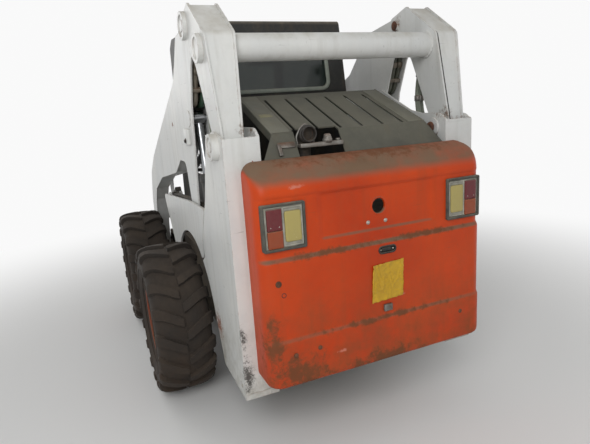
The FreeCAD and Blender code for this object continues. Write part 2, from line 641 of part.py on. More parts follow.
def hood():
    # one bent sheet: a level front part, the slotted slope, and a steep part down to the tailgate
    line = [(-v.hood_back_x, v.hood_back_z), (-v.hood_knee_x, v.hood_knee_z),
            (-v.hood_bend_x, v.hood_bend_z), (-v.hood_front_x, v.hood_front_z)]
    plan = plan_plate([
        (-v.hood_front_x + 20, -v.hood_half), (-v.hood_front_x + 20, v.hood_half),
        (-v.hood_knee_x, v.hood_half), (-v.hood_back_x - 5, v.hood_foot_half),
        (-v.hood_back_x - 5, -v.hood_foot_half), (-v.hood_knee_x, -v.hood_half)],
        "hood_back_z - 100", "hood_bend_z + 50")
    sheet_metal = common(side_plate(ribbon(line, v.hood_sheet), "-hood_foot_half", "hood_foot_half"), plan)
    flange = side_plate(ribbon(line[1:], v.hood_sheet + v.hood_flange), "hood_half - hood_sheet",
                        "hood_half")
    slope = math.degrees(math.atan2(v.hood_bend_z - v.hood_knee_z, v.hood_knee_x - v.hood_bend_x))
    half = v.slot_width / 2
    slots = []
    for i in range(SLOTS):
        middle = (i - (SLOTS - 1) / 2) * v.slot_pitch
        slots.append(plan_plate([
            (-v.slot_start, middle - half, half * 0.9), (-v.slot_start, middle + half, half * 0.9),
            (-v.slot_end, middle + half, half * 0.9), (-v.slot_end, middle - half, half * 0.9)],
            "-hood_sheet - 5", "5"))
    grille = compound(*slots)
    grille.Placement = Placement(Vector(-v.hood_bend_x, 0, v.hood_bend_z), Rotation(Vector(0, 1, 0), -slope))
    notch = box("-hood_back_x - 10", "-notch_front", "notch_inner", "notch_outer", "hood_back_z - 50",
                "hood_bend_z")
    bores = cylinder("hood_pin_radius + fit", "-hood_pin_x", "hood_pin_z", "-hood_half - 5", "hood_half + 5")
    offer("hood", cut(fuse(sheet_metal, *both(flange)), grille, notch, bores))


def tailgate():
    front = -v.post_back - v.door_seat

    def shell(inset):
        # the door's outer form, or its hollow when inset by the plate's thickness
        top = v.door_top - inset
        roll = v.door_roll - inset
        side = side_plate([
            (front + (200 if inset else 0), v.door_foot + inset), (-v.tail + inset, v.door_foot + inset, 18),
            (-v.tail + inset, v.ledge_lower - 9 + inset),
            (-v.door_middle + inset, v.ledge_lower + 9 + inset),
            (-v.door_middle + inset, v.ledge_upper - 9 + inset),
            (-v.door_upper + inset, v.ledge_upper + 9 + inset), (-v.door_upper + inset, top, roll),
            (front + (200 if inset else 0), top)], "-door_half - 50", "door_half + 50")
        half = v.door_half - inset
        corner = v.door_corner - inset
        plan = plan_plate([
            (front + (200 if inset else 0), -half), (front + (200 if inset else 0), half),
            (-v.tail + inset, half, corner), (-v.tail + inset, -half, corner)], "300", "1500")
        face = cross_plate([
            (-half, v.door_foot + inset, 30), (half, v.door_foot + inset, 30),
            (half, top, corner), (-half, top, corner)], "-tail - 50", "-1000")
        return common(side, plan, face)

    hollow = shell(v.door_sheet)
    recess = box("-door_upper - 20", "-door_upper + panel_depth", "-panel_half", "panel_half",
                 "panel_foot", "panel_top")
    recess_back = box("-door_upper + door_sheet - 1", "-door_upper + door_sheet + panel_depth",
                      "-panel_half - door_sheet", "panel_half + door_sheet",
                      "panel_foot - door_sheet", "panel_top + door_sheet")
    key_hole = doc.addObject("Part::Cylinder", "key_hole")
    key_hole.Placement = Placement(Vector(), Rotation(Vector(0, 1, 0), 90))
    bind(key_hole, Radius="key_hole_radius", Height="80", Placement__Base__x="-door_upper - 20",
         Placement__Base__z="key_hole_z")

    def stadium(gap, x0, x1):
        # the latch's long hole, or the latch inside it with a gap all round
        end, rise = v.latch_length / 2 - gap, v.latch_height / 2 - gap
        return cross_plate([(v.latch_y + a * end, v.latch_z + b * rise, rise - 0.5)
                            for a, b in ((-1, -1), (1, -1), (1, 1), (-1, 1))], x0, x1)

    latch_hole = stadium(0, "-door_middle - 20", "-door_middle + 40")
    lamp_holes = both(box("-door_upper - 30", "-door_upper + 40", "lamp_inner + 3", "lamp_outer - 3",
                          "lamp_foot + 3", "lamp_top - 3"))
    knuckles = [upright_bar("knuckle_radius", f"{height} - knuckle_length / 2",
                            f"{height} + knuckle_length / 2")
                for height in ("knuckle_low", "knuckle_high")]
    pin_holes = [upright_bar("door_pin_radius + fit", f"{height} - knuckle_length / 2 - 30",
                             f"{height} + knuckle_length / 2 + 30")
                 for height in ("knuckle_low", "knuckle_high")]
    door = cut(fuse(cut(shell(0), hollow), recess_back, *knuckles), recess, key_hole, latch_hole,
               *lamp_holes, *pin_holes)
    offer("tailgate", door)
    offer("tailgate_latch", stadium(v.running_gap, "-door_middle + 1", "-door_middle + 12"))


def lamps():
    # a housing in its hole, with the lenses side by side inside the rim
    bowl = cut(box("-door_upper - lamp_stand", "-door_upper + 30", "lamp_inner + 3.3", "lamp_outer - 3.3",
                   "lamp_foot + 3.3", "lamp_top - 3.3"),
               box("-door_upper - lamp_stand - 1", "-door_upper + 20", "lamp_inner + lamp_rim",
                   "lamp_outer - lamp_rim", "lamp_foot + lamp_rim", "lamp_top - lamp_rim"))
    offer("lamp_housings", *both(bowl))
    split = "(lamp_inner + lamp_outer) / 2"
    middle = "(lamp_foot + lamp_top) / 2"
    rows = (("lens_red", split, "lamp_outer - lamp_rim", middle, "lamp_top - lamp_rim"),
            ("lens_amber", split, "lamp_outer - lamp_rim", "lamp_foot + lamp_rim", middle),
            ("lens_clear", "lamp_inner + lamp_rim", split, "lamp_foot + lamp_rim", "lamp_top - lamp_rim"))
    for name, y0, y1, z0, z1 in rows:
        lens = box("-door_upper - lamp_stand + 3", "-door_upper + 20", f"{y0} + 0.3", f"{y1} - 0.3",
                   f"{z0} + 0.3", f"{z1} - 0.3")
        offer(name, *both(lens))


def rear_links():
    foot = (v.link_foot_x, v.link_foot_z)
    head = (v.link_head_x, v.link_head_z)

    def band(inner, outer):
        # the taper in the rear view, wide at the head and narrow at the foot
        low, high = foot[1] - 60, head[1] - 60
        return cross_plate([
            (inner + v.link_taper_inner, low - 200), (outer - v.link_taper_outer, low - 200),
            (outer - v.link_taper_outer, low), (outer, high), (outer, high + 300),
            (inner, high + 300), (inner, high), (inner + v.link_taper_inner, low)],
            "link_foot_x - 300", "link_head_x + 300")

    def side(inset, back, front):
        low = shifted(foot, [
            (-58 + inset, -58 + inset, 57 - inset), (58 - inset + front, -58 + inset, 57 - inset),
            (66 + front, 30, 50), (98 - inset + front, 68, 60), (212 - inset + front, 341, 60)])
        high = shifted(head, [
            (25 - inset + front, -60, 60), (48 - inset + front, 39, 12),
            (-89 + inset * 0.3, 78 - inset, 10)])
        return side_plate([*low, *high, (foot[0] + 15 + inset, head[1] - 73, 40),
                           (foot[0] - 46 + back, foot[1] + 65, 20)], "link_inner - 50", "link_outer + 50")

    solid = common(side(0, 0, 0), band(v.link_inner, v.link_outer))
    cover_set = v.link_cover_set
    rim = common(side(cover_set, cover_set, 0),
                 band(v.link_inner + v.link_plate, v.link_outer - v.link_plate))
    core = common(side(cover_set + v.link_plate, cover_set + v.link_plate, 300),
                  band(v.link_inner + v.link_plate, v.link_outer - v.link_plate))
    channel = common(side(-60, -60, 300), band(v.link_inner + v.link_plate, v.link_outer - v.link_plate))
    plates = cut(solid, channel)
    cover = cut(rim, core)
    foot_room = side_plate([
        (foot[0] - 120, foot[1] - 120), (foot[0] + 120, foot[1] - 120), (foot[0] + 120, foot[1] - 10),
        (foot[0] - 120, foot[1] - 10)], "link_inner", "link_outer")
    tube_hub = cylinder("pin_radius + 26", "link_foot_x", "link_foot_z",
                        "link_inner + link_taper_inner", "link_outer - link_taper_outer")
    bore = cylinder("pin_radius + fit", "link_foot_x", "link_foot_z", "chassis_half", "post_outer")
    head_pin = cylinder("head_pin_radius", "link_head_x", "link_head_z", "link_inner - 12",
                        "link_outer + 16")
    head_boss = ringed("head_pin_radius + 35", "link_head_x", "link_head_z", "link_outer", "link_outer + 18")
    tube_boss = ringed("tube_radius", "tube_x", "tube_z", "link_outer - 14", "link_outer + 18")
    link = cut(fuse(plates, cut(cover, foot_room), tube_hub, head_pin, head_boss, tube_boss), bore)
    offer_pair("rear_link", link)
    tube = cut(cylinder("tube_radius", "tube_x", "tube_z", "-link_inner - 3", "link_inner + 3"),
               cylinder("tube_radius - tube_wall", "tube_x", "tube_z", "-link_inner - 50",
                        "link_inner + 50"))
    offer("cross_tube", cut(tube, solid, mirrored(solid)))


def lift_arms():
    head = (v.link_head_x, v.link_head_z)
    leg = (v.leg_x, v.leg_z)
    tip = (v.nose_pin_x, v.nose_pin_z)
    top = (shifted(head, [(335, 2, 40), (445, -120, 40), (535, -205, 80), (875, -343), (1355, -540)])
           + shifted(tip, [(-440, 1024, 60), (-200, 883, 120), (-60, 658, 120), (58, 60, 60)]))
    under = (shifted(tip, [(-62, 10), (-175, 438, 150), (-280, 658, 80), (-380, 763, 60)])
             + shifted(head, [(1370, -810), (765, -720, 60), (575, -630, 60)]))
    nose_end = shifted(tip, [(58, -58, 57), (-58, -58, 57)])
    head_end = shifted(head, [(-54, -54, 52), (-54, 54, 52)])
    wide = v.leg_radius
    leg_end = (shifted(leg, [(130, 250, 60), (wide, 0, 20), (wide, -wide, wide - 1),
                             (-wide, -wide, wide - 1), (-wide, 0), (-126, 327, 80)])
               + shifted(head, [(135, -340), (60, -164, 60)]))
    short_end = (shifted(leg, [(100, 385, 60), (-110, 395, 50)])
                 + shifted(head, [(130, -340), (60, -164, 60)]))
    outer = side_plate(top + nose_end + under + leg_end + head_end, "arm_outer - arm_plate", "arm_outer")
    inner = side_plate(top + nose_end + under + short_end + head_end, "arm_inner", "arm_inner + arm_plate")
    gap = ("arm_inner + arm_plate", "arm_outer - arm_plate")
    skin = 8

    def strip(points):
        # a web between the side plates that follows part of an edge, one plate thick
        low = [(x, z - skin * 1.3) for x, z in points]
        return side_plate(points + low[::-1], *gap)

    top_web = strip(shifted(head, [(345, -15), (445, -125), (535, -210), (875, -348), (1355, -545)])
                    + shifted(tip, [(-440, 1018), (-220, 883)]))
    under_web = strip(shifted(head, [(585, -618), (765, -704), (1370, -796)])
                      + shifted(tip, [(-377, 779)]))
    front_web = side_plate(shifted(tip, [
        (-220, 883), (-72, 658), (50, 110), (40, 110), (-82, 653), (-228, 873)]), *gap)
    back_web = side_plate(shifted(tip, [
        (-390, 780), (-275, 663), (-165, 440), (-50, 90), (-40, 90), (-155, 444), (-267, 671),
        (-384, 788)]), *gap)
    hub = cylinder("head_pin_radius + 25", "link_head_x", "link_head_z", *gap)
    nose_hub = cylinder("pin_radius + 26", "nose_pin_x", "nose_pin_z", *gap)
    leg_hub = cylinder("pin_radius + 18", "leg_x", "leg_z", "arm_outer - arm_plate - 8", "arm_outer")
    eye_bosses = [cylinder("pin_radius + 20", "lift_eye_x", "lift_eye_z", y0, y1)
                  for y0, y1 in (("arm_outer - arm_plate", "arm_outer + 4"), ("arm_inner - 4", "arm_inner"))]
    tilt_pin = cylinder("pin_radius - 4", "tilt_pin_x", "tilt_pin_z", "tilt_line - 20", "arm_inner")
    tilt_plate = side_plate([
        (v.tilt_pin_x - 70, v.tilt_pin_z + 150), (v.tilt_pin_x - 42, v.tilt_pin_z - 42, 40),
        (v.tilt_pin_x + 42, v.tilt_pin_z - 42, 40), (v.tilt_pin_x + 90, v.tilt_pin_z + 110)],
        "arm_inner - 8", "arm_inner")
    bores = [cylinder("head_pin_radius + fit", "link_head_x", "link_head_z", "arm_inner - 1",
                      "arm_outer + 1"),
             cylinder("pin_radius + fit", "nose_pin_x", "nose_pin_z", "arm_inner - 1", "arm_outer + 1")]
    arm = cut(fuse(outer, inner, top_web, under_web, front_web, back_web, hub, nose_hub, leg_hub,
                   *eye_bosses, tilt_pin, tilt_plate), *bores)
    offer_pair("lift_arm", arm)

    def square(half, corner):
        return side_plate([(v.member_x + a * half, v.member_z + b * half, corner)
                           for a, b in ((-1, -1), (1, -1), (1, 1), (-1, 1))], "-arm_inner", "arm_inner")

    member = cut(square(v.member_side / 2, 14), square(v.member_side / 2 - v.member_wall, 6))
    offer("arm_cross_member", member)


def control_links():
    # a flat bar between two eyes; the pin at its rear eye stops short of the leg
    x0, z0, x1, z1 = v.leg_x, v.leg_z, v.track_link_x, v.track_link_z
    angle = math.atan2(z1 - z0, x1 - x0)
    reach = math.hypot(x1 - x0, z1 - z0)
    body = side_plate([(0, -34), (reach, -34), (reach, 34), (0, 34)], "-20", "20")
    eyes = []
    for place in (0, reach):
        eye = doc.addObject("Part::Cylinder", "eye")
        bind(eye, Radius="pin_radius + 24", Height="44")
        eye.Placement = Placement(Vector(place, -22, 0), Rotation(Vector(1, 0, 0), -90))
        eyes.append(eye)
    bar = fuse(body, *eyes)
    bar.Placement = Placement(Vector(x0, (v.arm_inner + v.arm_outer) / 2, z0),
                              Rotation(Vector(0, 1, 0), -math.degrees(angle)))
    bore = cylinder("pin_radius + fit", "track_link_x", "track_link_z", "arm_inner", "arm_outer")
    stub = cylinder("pin_radius", "leg_x", "leg_z", "(arm_inner + arm_outer) / 2 + 20",
               "arm_outer - arm_plate - 8 - running_gap")
    offer_pair("control_link", fuse(cut(bar, bore), stub))


def cylinder_pair(low, high, y, barrel, rod, length, pin, foot_half, eye_half):
    # barrel pinned at low, rod's eye at high
    x0, z0 = low
    x1, z1 = high
    angle = math.degrees(math.atan2(z1 - z0, x1 - x0))
    span = math.hypot(x1 - x0, z1 - z0)

    def lying(radius, start, end):
        item = doc.addObject("Part::Cylinder", "length")
        bind(item, Radius=radius, Height=f"({end}) - ({start})")
        item.Placement = Placement(Vector(start, 0, 0), Rotation(Vector(0, 1, 0), 90))
        return item

    def crossing(radius, place, half):
        item = doc.addObject("Part::Cylinder", "eye")
        bind(item, Radius=radius, Height=f"2 * ({half})")
        item.Placement = Placement(Vector(place, -half, 0), Rotation(Vector(1, 0, 0), -90))
        return item

    swing = Placement(Vector(x0, y, z0), Rotation(Vector(0, 1, 0), -angle))
    tube = cut(fuse(lying(barrel, pin + 10, length), crossing(pin + 18, 0, foot_half),
                    lying(barrel + 4, length - 40, length)),
               crossing(pin + v.fit, 0, foot_half + 5), lying(rod + v.running_gap, pin + 60, length + 5))
    tube.Placement = swing
    shaft = fuse(lying(rod, pin + 90, span), crossing(pin + 16, span, eye_half))
    shaft.Placement = swing
    return tube, shaft


def lift_cylinders():
    y = (v.arm_inner + v.arm_outer) / 2
    tube, shaft = cylinder_pair(
        (v.lift_foot_x, v.lift_foot_z), (v.lift_eye_x, v.lift_eye_z), y, v.lift_barrel_radius,
        v.lift_rod_radius, v.lift_barrel_length, v.pin_radius, 26, 24)
    eye_pin = cylinder("pin_radius", "lift_eye_x", "lift_eye_z", "arm_inner + arm_plate + running_gap",
                  "arm_outer - arm_plate - running_gap")
    offer("lift_barrels", *both(tube))
    offer("lift_rods", *both(fuse(shaft, eye_pin)))


def tilt_cylinders():
    tube, shaft = cylinder_pair(
        (v.tilt_pin_x, v.tilt_pin_z), (tilt_eye_x, tilt_eye_z), v.tilt_line, v.tilt_barrel_radius,
        v.tilt_rod_radius, v.tilt_barrel_length, v.pin_radius - 4, 20, 15)
    eye_pin = cylinder("pin_radius - 4", tilt_eye_x, tilt_eye_z, "tilt_line - 19 + running_gap",
                  "tilt_line + 19 - running_gap")
    offer("tilt_barrels", *both(tube))
    offer("tilt_rods", *both(fuse(shaft, eye_pin)))


def coupler():
    # drawn upright about its pivot, then leaned back as it parks
    crank = v.tilt_crank
    face = v.nose - v.nose_pin_x
    top = v.coupler_top - v.nose_pin_z
    foot = v.coupler_foot - v.nose_pin_z
    thick = v.coupler_plate
    plate = side_plate([
        (face - thick, foot), (face, foot), (face, top), (face - 60, top), (face - 60, top - thick),
        (face - thick, top - thick)], "-coupler_half", "coupler_half")
    foot_strip = box(f"{face} - coupler_plate", f"{face}", "-coupler_foot_half", "coupler_foot_half",
                     f"{foot}", f"{foot} + coupler_strip")
    lug = side_plate([
        (face - 6, foot + 20), (face - 6, crank + 60), (-26, crank + 30, 24), (-26, crank - 30, 20),
        (-44, 30, 30), (-44, -44, 40), (20, -60)], "tilt_line + 19", "arm_inner - running_gap")
    ear = side_plate([
        (face - 6, crank - 90), (face - 6, crank + 60), (-26, crank + 30, 24), (-26, crank - 30, 24)],
        "tilt_line - 31", "tilt_line - 19")
    nose_pin = cylinder("pin_radius", "0", "0", "tilt_line + 19", "arm_outer + 6")
    leaned = Placement(Vector(v.nose_pin_x, 0, v.nose_pin_z), Rotation(Vector(0, 1, 0), -v.rollback))
    eye_slot = box(f"{face} - coupler_plate - 5", f"{face} + 5", "tilt_line - 16", "tilt_line + 16",
                   "tilt_crank - 150", "tilt_crank")
    frame = fuse(cut(plate, *both(eye_slot)), foot_strip, *both(lug), *both(ear), *both(nose_pin))
    frame.Placement = leaned
    offer("coupler_frame", frame)
    lever = box(f"{face - 46}", f"{face} - coupler_plate", "coupler_half - 130", "coupler_half - 100",
                f"{foot + 60}", f"{top - 20}")
    wedge = box(f"{face - 40}", f"{face} - coupler_plate", "coupler_half - 127", "coupler_half - 103",
                f"{foot + 12}", f"{foot + 60}")
    levers = compound(*both(fuse(lever, wedge)))
    levers.Placement = leaned
    offer("coupler_levers", levers)


def spun(item, degrees):
    # a copy of a piece, turned about the Y axis
    copy = compound(item)
    copy.Placement = Placement(Vector(), Rotation(Vector(0, 1, 0), degrees))
    return copy


def tyre_form():
    # flats round the axle, and on each side bar lugs that meet in a V at the middle
    half = v.tyre_width / 2
    bead = v.rim_depth / 2 - v.rim_wall - v.running_gap
    seat = v.rim_radius + v.running_gap
    section = [(seat, -bead), (seat, bead), (v.rim_lip + 6, bead), (v.rim_lip + 60, half - 1),
               (v.tyre_radius - 80, half - 1), (v.carcass_radius, half - 52), (v.carcass_radius, 52 - half),
               (v.tyre_radius - 80, 1 - half), (v.rim_lip + 60, 1 - half), (v.rim_lip + 6, -bead)]
    turn = 360 / FLATS
    spread = v.tyre_radius * math.tan(math.radians(turn / 2))
    flat = common(plan_plate(section, f"-{spread}", f"{spread}"),
                  side_plate([(0, 0), (v.tyre_radius, spread), (v.tyre_radius, -spread)],
                             "-tyre_width", "tyre_width"))
    skew = math.radians(v.lug_skew)
    middle = half / 2
    reach = (middle - v.lug_inset) * math.sin(skew) + v.lug_thickness / 2 * math.cos(skew)
    crest = math.sqrt(v.tyre_radius ** 2 - reach ** 2)
    outer = middle + (half - middle - v.lug_thickness / 2 * math.sin(skew)) / math.cos(skew)
    lug = plan_plate([(v.carcass_radius - 30, v.lug_inset), (crest, v.lug_inset), (crest, outer - 34),
                      (v.carcass_radius - 60, outer)], "-lug_thickness / 2", "lug_thickness / 2")
    leaned = compound(lug)
    leaned.Placement = Placement(Vector(0, middle * (1 - math.cos(skew)), middle * math.sin(skew)),
                                 Rotation(Vector(1, 0, 0), -v.lug_skew))
    across = mirrored(leaned)
    step = 360 / LUGS
    pieces = [spun(flat, turn * i) for i in range(FLATS)]
    pieces += [spun(leaned, step * i) for i in range(LUGS)]
    pieces += [spun(across, step * (i + 0.5)) for i in range(LUGS)]
    whole = compound(fuse(*pieces))
    # a corner of one lug stands on the floor
    whole.Placement = Placement(Vector(0, v.tyre_inner + half, 0),
                                Rotation(Vector(0, 1, 0), 90 + math.degrees(math.atan2(reach, crest))))
    return whole


def wheels():
    middle = v.tyre_inner + v.tyre_width / 2
    lip0 = middle - v.rim_depth / 2
    lip1 = middle + v.rim_depth / 2
    wall = v.rim_wall
    disc = lip0 + v.disc_offset
    well = v.rim_radius - wall
    rim = turned([(well, lip0 + wall), (v.rim_lip, lip0), (v.rim_lip, lip0 + wall),
                  (v.rim_radius, lip0 + wall), (v.rim_radius, lip1 - wall),
                  (v.rim_lip, lip1 - wall), (v.rim_lip, lip1), (well, lip1), (well, disc + wall),
                  (150, disc + wall + 26), (110, disc + wall), (0, disc + wall),
                  (0, disc - 34 + v.running_gap), (v.hub_radius, disc - 34 + v.running_gap),
                  (v.hub_radius, disc), (110, disc), (150, disc + 20), (well, disc)])
    nuts = []
    for i in range(NUTS):
        nut = doc.addObject("Part::Prism", "nut")
        bind(nut, Polygon=6, Circumradius="nut_size", Height="nut_size + 2")
        nut.Placement = Placement(Vector(v.nut_circle, disc + wall - 2, 0), Rotation(Vector(1, 0, 0), -90))
        nuts.append(spun(nut, 360 / NUTS * (i + 0.5)))
    rim = fuse(rim, *nuts)
    tyre = tyre_form()
    for side, turn in (("left", compound), ("right", mirrored)):
        for end, x in (("front", front_axle), ("rear", rear_axle)):
            for name, form in (("tyre", tyre), ("rim", rim)):
                item = compound(turn(form))
                item.Placement = Placement(Vector(x, 0, v.tyre_radius), Rotation())
                offer(f"{name}_{end}_{side}", item)


for make in (chassis, uprights, fenders, engine, exhaust, cab, hood, tailgate, lamps, rear_links, lift_arms,
             control_links, lift_cylinders, tilt_cylinders, coupler, wheels):
    make()
doc.recompute()

failed = [item.Name for item in doc.Objects if {"Invalid", "Error"} & set(item.State)]
if failed:
    raise RuntimeError(f"not built: {failed}")
os.makedirs("parts", exist_ok=True)
for name, item in subparts.items():
    shape = item.Shape
    if shape.isNull() or not shape.isValid():
        raise RuntimeError(f"{name} has no valid shape")
    shape.exportStep(f"parts/{name}.step")
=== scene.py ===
import math

import bmesh
import bpy
from mathutils import Matrix, Vector, noise


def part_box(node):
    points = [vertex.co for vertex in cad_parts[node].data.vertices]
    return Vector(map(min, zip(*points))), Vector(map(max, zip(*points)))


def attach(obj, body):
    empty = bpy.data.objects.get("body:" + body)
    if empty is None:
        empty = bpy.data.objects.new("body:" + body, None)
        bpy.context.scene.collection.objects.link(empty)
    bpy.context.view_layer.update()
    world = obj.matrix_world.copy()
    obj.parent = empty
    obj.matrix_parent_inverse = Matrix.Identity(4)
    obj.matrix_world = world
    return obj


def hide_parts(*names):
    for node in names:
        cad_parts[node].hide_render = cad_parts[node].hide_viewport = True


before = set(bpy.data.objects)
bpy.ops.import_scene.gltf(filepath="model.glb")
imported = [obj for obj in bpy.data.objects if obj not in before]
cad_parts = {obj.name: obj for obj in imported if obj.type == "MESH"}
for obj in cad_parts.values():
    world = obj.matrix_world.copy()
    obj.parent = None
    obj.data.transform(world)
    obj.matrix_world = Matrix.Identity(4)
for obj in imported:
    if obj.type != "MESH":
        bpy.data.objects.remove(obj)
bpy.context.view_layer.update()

# Metres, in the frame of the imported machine. +X points forward, +Y to the left, +Z up.
SIDES = LEFT, RIGHT = 1, -1
X, Y, Z = Vector((1, 0, 0)), Vector((0, 1, 0)), Vector((0, 0, 1))


def middle_of(node):
    low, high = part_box(node)
    return (low + high) / 2


REAR_AXLE, FRONT_AXLE = middle_of("tyre_rear_left"), middle_of("tyre_front_left")
DATUM = (REAR_AXLE.x + FRONT_AXLE.x) / 2


def at(x, y, z):
    # a place measured from the middle of the wheelbase
    return Vector((x + DATUM, y, z))


def placed(name, data):
    item = bpy.data.objects.new(name, data)
    bpy.context.scene.collection.objects.link(item)
    return item


# Camera at the photograph's place and angle
EYE = at(-3.3418, 1.1308, 1.5387)
LOOK = Vector((0.8982, -0.3782, -0.2240))
RIGHTWARD = Vector((-0.4011, -0.9136, -0.0658))
UPWARD = Vector((0.1797, -0.1490, 0.9723))
LENS, SENSOR = 30.26, 36

camera = placed("camera", bpy.data.cameras.new("camera"))
turn = Matrix((RIGHTWARD, UPWARD, -LOOK)).transposed().to_4x4()
camera.matrix_world = Matrix.Translation(EYE) @ turn
camera.data.lens, camera.data.sensor_width = LENS, SENSOR
camera.data.clip_start, camera.data.clip_end = 0.05, 100
bpy.context.scene.camera = camera
bpy.context.scene.view_settings.view_transform = "Standard"


# Shader effects that several finishes share


def linear(code):
    # "d24b14" as a linear colour
    parts = [int(code[i:i + 2], 16) / 255 for i in (0, 2, 4)]
    return [c / 12.92 if c < 0.04045 else ((c + 0.055) / 1.055) ** 2.4 for c in parts] + [1.0]


class Nodes:
    # short ways to build one shader tree

    def __init__(self, tree):
        self.tree = tree

    def feed(self, socket, value):
        # a link from another socket, or a plain value
        if isinstance(value, bpy.types.NodeSocket):
            self.tree.links.new(value, socket)
        else:
            socket.default_value = value

    def add(self, kind, inputs=(), **settings):
        # inputs come in the sockets' order, or by name or number
        node = self.tree.nodes.new("ShaderNode" + kind)
        for name, value in settings.items():
            setattr(node, name, value)
        for key, value in inputs.items() if isinstance(inputs, dict) else enumerate(inputs):
            self.feed(node.inputs[key], value)
        return node

    def maths(self, operation, a, b, clamp=False):
        return self.add("Math", (a, b), operation=operation, use_clamp=clamp).outputs[0]

    def times(self, first, *others):
        # each product is held between 0 and 1
        for other in others:
            first = self.maths("MULTIPLY", first, other, True)
        return first

    def vectors(self, operation, *values):
        node = self.add("VectorMath", values, operation=operation)
        return node.outputs["Value" if operation in ("LENGTH", "DOT_PRODUCT") else "Vector"]

    def height(self, vector):
        return self.add("SeparateXYZ", [vector]).outputs["Z"]

    def place(self):
        return self.add("TexCoord").outputs["Object"]

    def ramp(self, source, low, high, steep="LINEAR"):
        # 0 at low to 1 at high
        inputs = {"Value": source, "From Min": low, "From Max": high}
        return self.add("MapRange", inputs, interpolation_type=steep).outputs["Result"]

    def noise(self, scale, detail=6.0, rough=0.6, stretch=(1, 1, 1)):
        # noise fixed to the piece, in its own metres
        place = self.add("Mapping", {"Vector": self.place(), "Scale": stretch}).outputs[0]
        inputs = {"Vector": place, "Scale": scale, "Detail": detail, "Roughness": rough}
        return self.add("TexNoise", inputs).outputs["Fac"]


GROUPS = {}
SOCKETS = {3: "NodeSocketVector", 4: "NodeSocketColor"}


def new_effect(name, output, **inputs):
    # a node group with named inputs and one output
    group = GROUPS[name] = bpy.data.node_groups.new(name, "ShaderNodeTree")
    for label, value in inputs.items():
        kind = SOCKETS[len(value)] if isinstance(value, tuple) else "NodeSocketFloat"
        socket = group.interface.new_socket(label.replace("_", " "), in_out="INPUT", socket_type=kind)
        socket.default_value = value
    kind = "NodeSocketColor" if output == "Color" else "NodeSocketFloat"
    group.interface.new_socket(output, in_out="OUTPUT", socket_type=kind)
    entry = group.nodes.new("NodeGroupInput")
    return Nodes(group), entry.outputs, group.nodes.new("NodeGroupOutput")


def settled_dust():
    # dust that lies on what faces up, thinner on the rest
    nodes, given, way_out = new_effect("settled_dust", "Mask", Cover=0.6, Film=0.1, Scale=6.0)
    facing = nodes.height(nodes.add("NewGeometry").outputs["Normal"])
    up = nodes.ramp(facing, 0.15, 0.85, "SMOOTHSTEP")
    cloud = nodes.ramp(nodes.noise(given["Scale"]), 0.28, 0.62)
    fine = nodes.ramp(nodes.noise(55.0, 8.0), 0.3, 0.75)
    lying = nodes.times(up, given["Cover"], cloud)
    film = nodes.times(fine, cloud, given["Film"])
    nodes.feed(way_out.inputs[0], nodes.maths("ADD", lying, film, True))


def edge_wear():
    # bare or rusty edges, broken up by noise
    nodes, given, way_out = new_effect("edge_wear", "Mask", Amount=0.5, Width=0.006, Scale=24.0)
    hard = nodes.add("NewGeometry").outputs["Normal"]
    soft = nodes.add("Bevel", {"Radius": given["Width"]}, samples=4).outputs[0]
    edge = nodes.ramp(nodes.vectors("DOT_PRODUCT", hard, soft), 0.985, 0.86)
    broken = nodes.ramp(nodes.noise(given["Scale"], 8.0, 0.75), 0.46, 0.62)
    nodes.feed(way_out.inputs[0], nodes.times(edge, broken, given["Amount"]))


def run_down():
    # streaks that run down a wall, and dirt that thickens towards the ground
    nodes, given, way_out = new_effect("run_down", "Mask", Streaks=0.3, Splash=0.5, Splash_Top=0.8, Scale=18.0)
    low = nodes.ramp(nodes.height(nodes.place()), given["Splash Top"], 0.25)
    cloud = nodes.ramp(nodes.noise(9.0, 9.0, 0.68), 0.36, 0.66)
    lines = nodes.ramp(nodes.noise(given["Scale"], 5.0, stretch=(1, 1, 0.07)), 0.52, 0.72)
    splash = nodes.times(low, cloud, given["Splash"])
    streaks = nodes.times(lines, given["Streaks"])
    nodes.feed(way_out.inputs[0], nodes.maths("ADD", splash, streaks, True))


def spot():
    # a ragged patch round one place, such as rust at a seam
    nodes, given, way_out = new_effect(
        "spot", "Mask", Centre=(0, 0, 0), Reach=(0.05, 0.05, 0.05), Scale=30.0)
    off = nodes.vectors("SUBTRACT", nodes.place(), given["Centre"])
    away = nodes.vectors("LENGTH", nodes.vectors("DIVIDE", off, given["Reach"]))
    near = nodes.ramp(away, 1.0, 0.0)
    ragged = nodes.ramp(nodes.noise(given["Scale"], 10.0, 0.78), 0.34, 0.66)
    patch = nodes.ramp(nodes.maths("ADD", near, ragged), 0.85, 1.45, "SMOOTHSTEP")
    nodes.feed(way_out.inputs[0], nodes.times(patch, nodes.ramp(near, 0.0, 0.3)))


def scuffs():
    # short fine scratches in two directions
    nodes, given, way_out = new_effect("scuffs", "Mask", Amount=0.3)
    first = nodes.ramp(nodes.noise(30.0, 3.0, stretch=(0.25, 0.25, 3.0)), 0.67, 0.7)
    second = nodes.ramp(nodes.noise(34.0, 3.0, stretch=(3.0, 2.2, 0.3)), 0.68, 0.71)
    thin = nodes.ramp(nodes.noise(5.0, 2.0), 0.45, 0.6)
    both = nodes.maths("MAXIMUM", first, second)
    nodes.feed(way_out.inputs[0], nodes.times(both, thin, given["Amount"]))


def mottle():
    # slow change of shade over a painted or rusty surface
    nodes, given, way_out = new_effect("mottle", "Color", Light=(1, 1, 1, 1), Dark=(0, 0, 0, 1), Scale=4.0)
    cloud = nodes.ramp(nodes.noise(given["Scale"], 7.0), 0.3, 0.7)
    mix = nodes.add("Mix", data_type="RGBA")
    for key, value in (("Factor", cloud), (6, given["Dark"]), (7, given["Light"])):
        nodes.feed(mix.inputs[key], value)
    nodes.feed(way_out.inputs[0], mix.outputs[2])


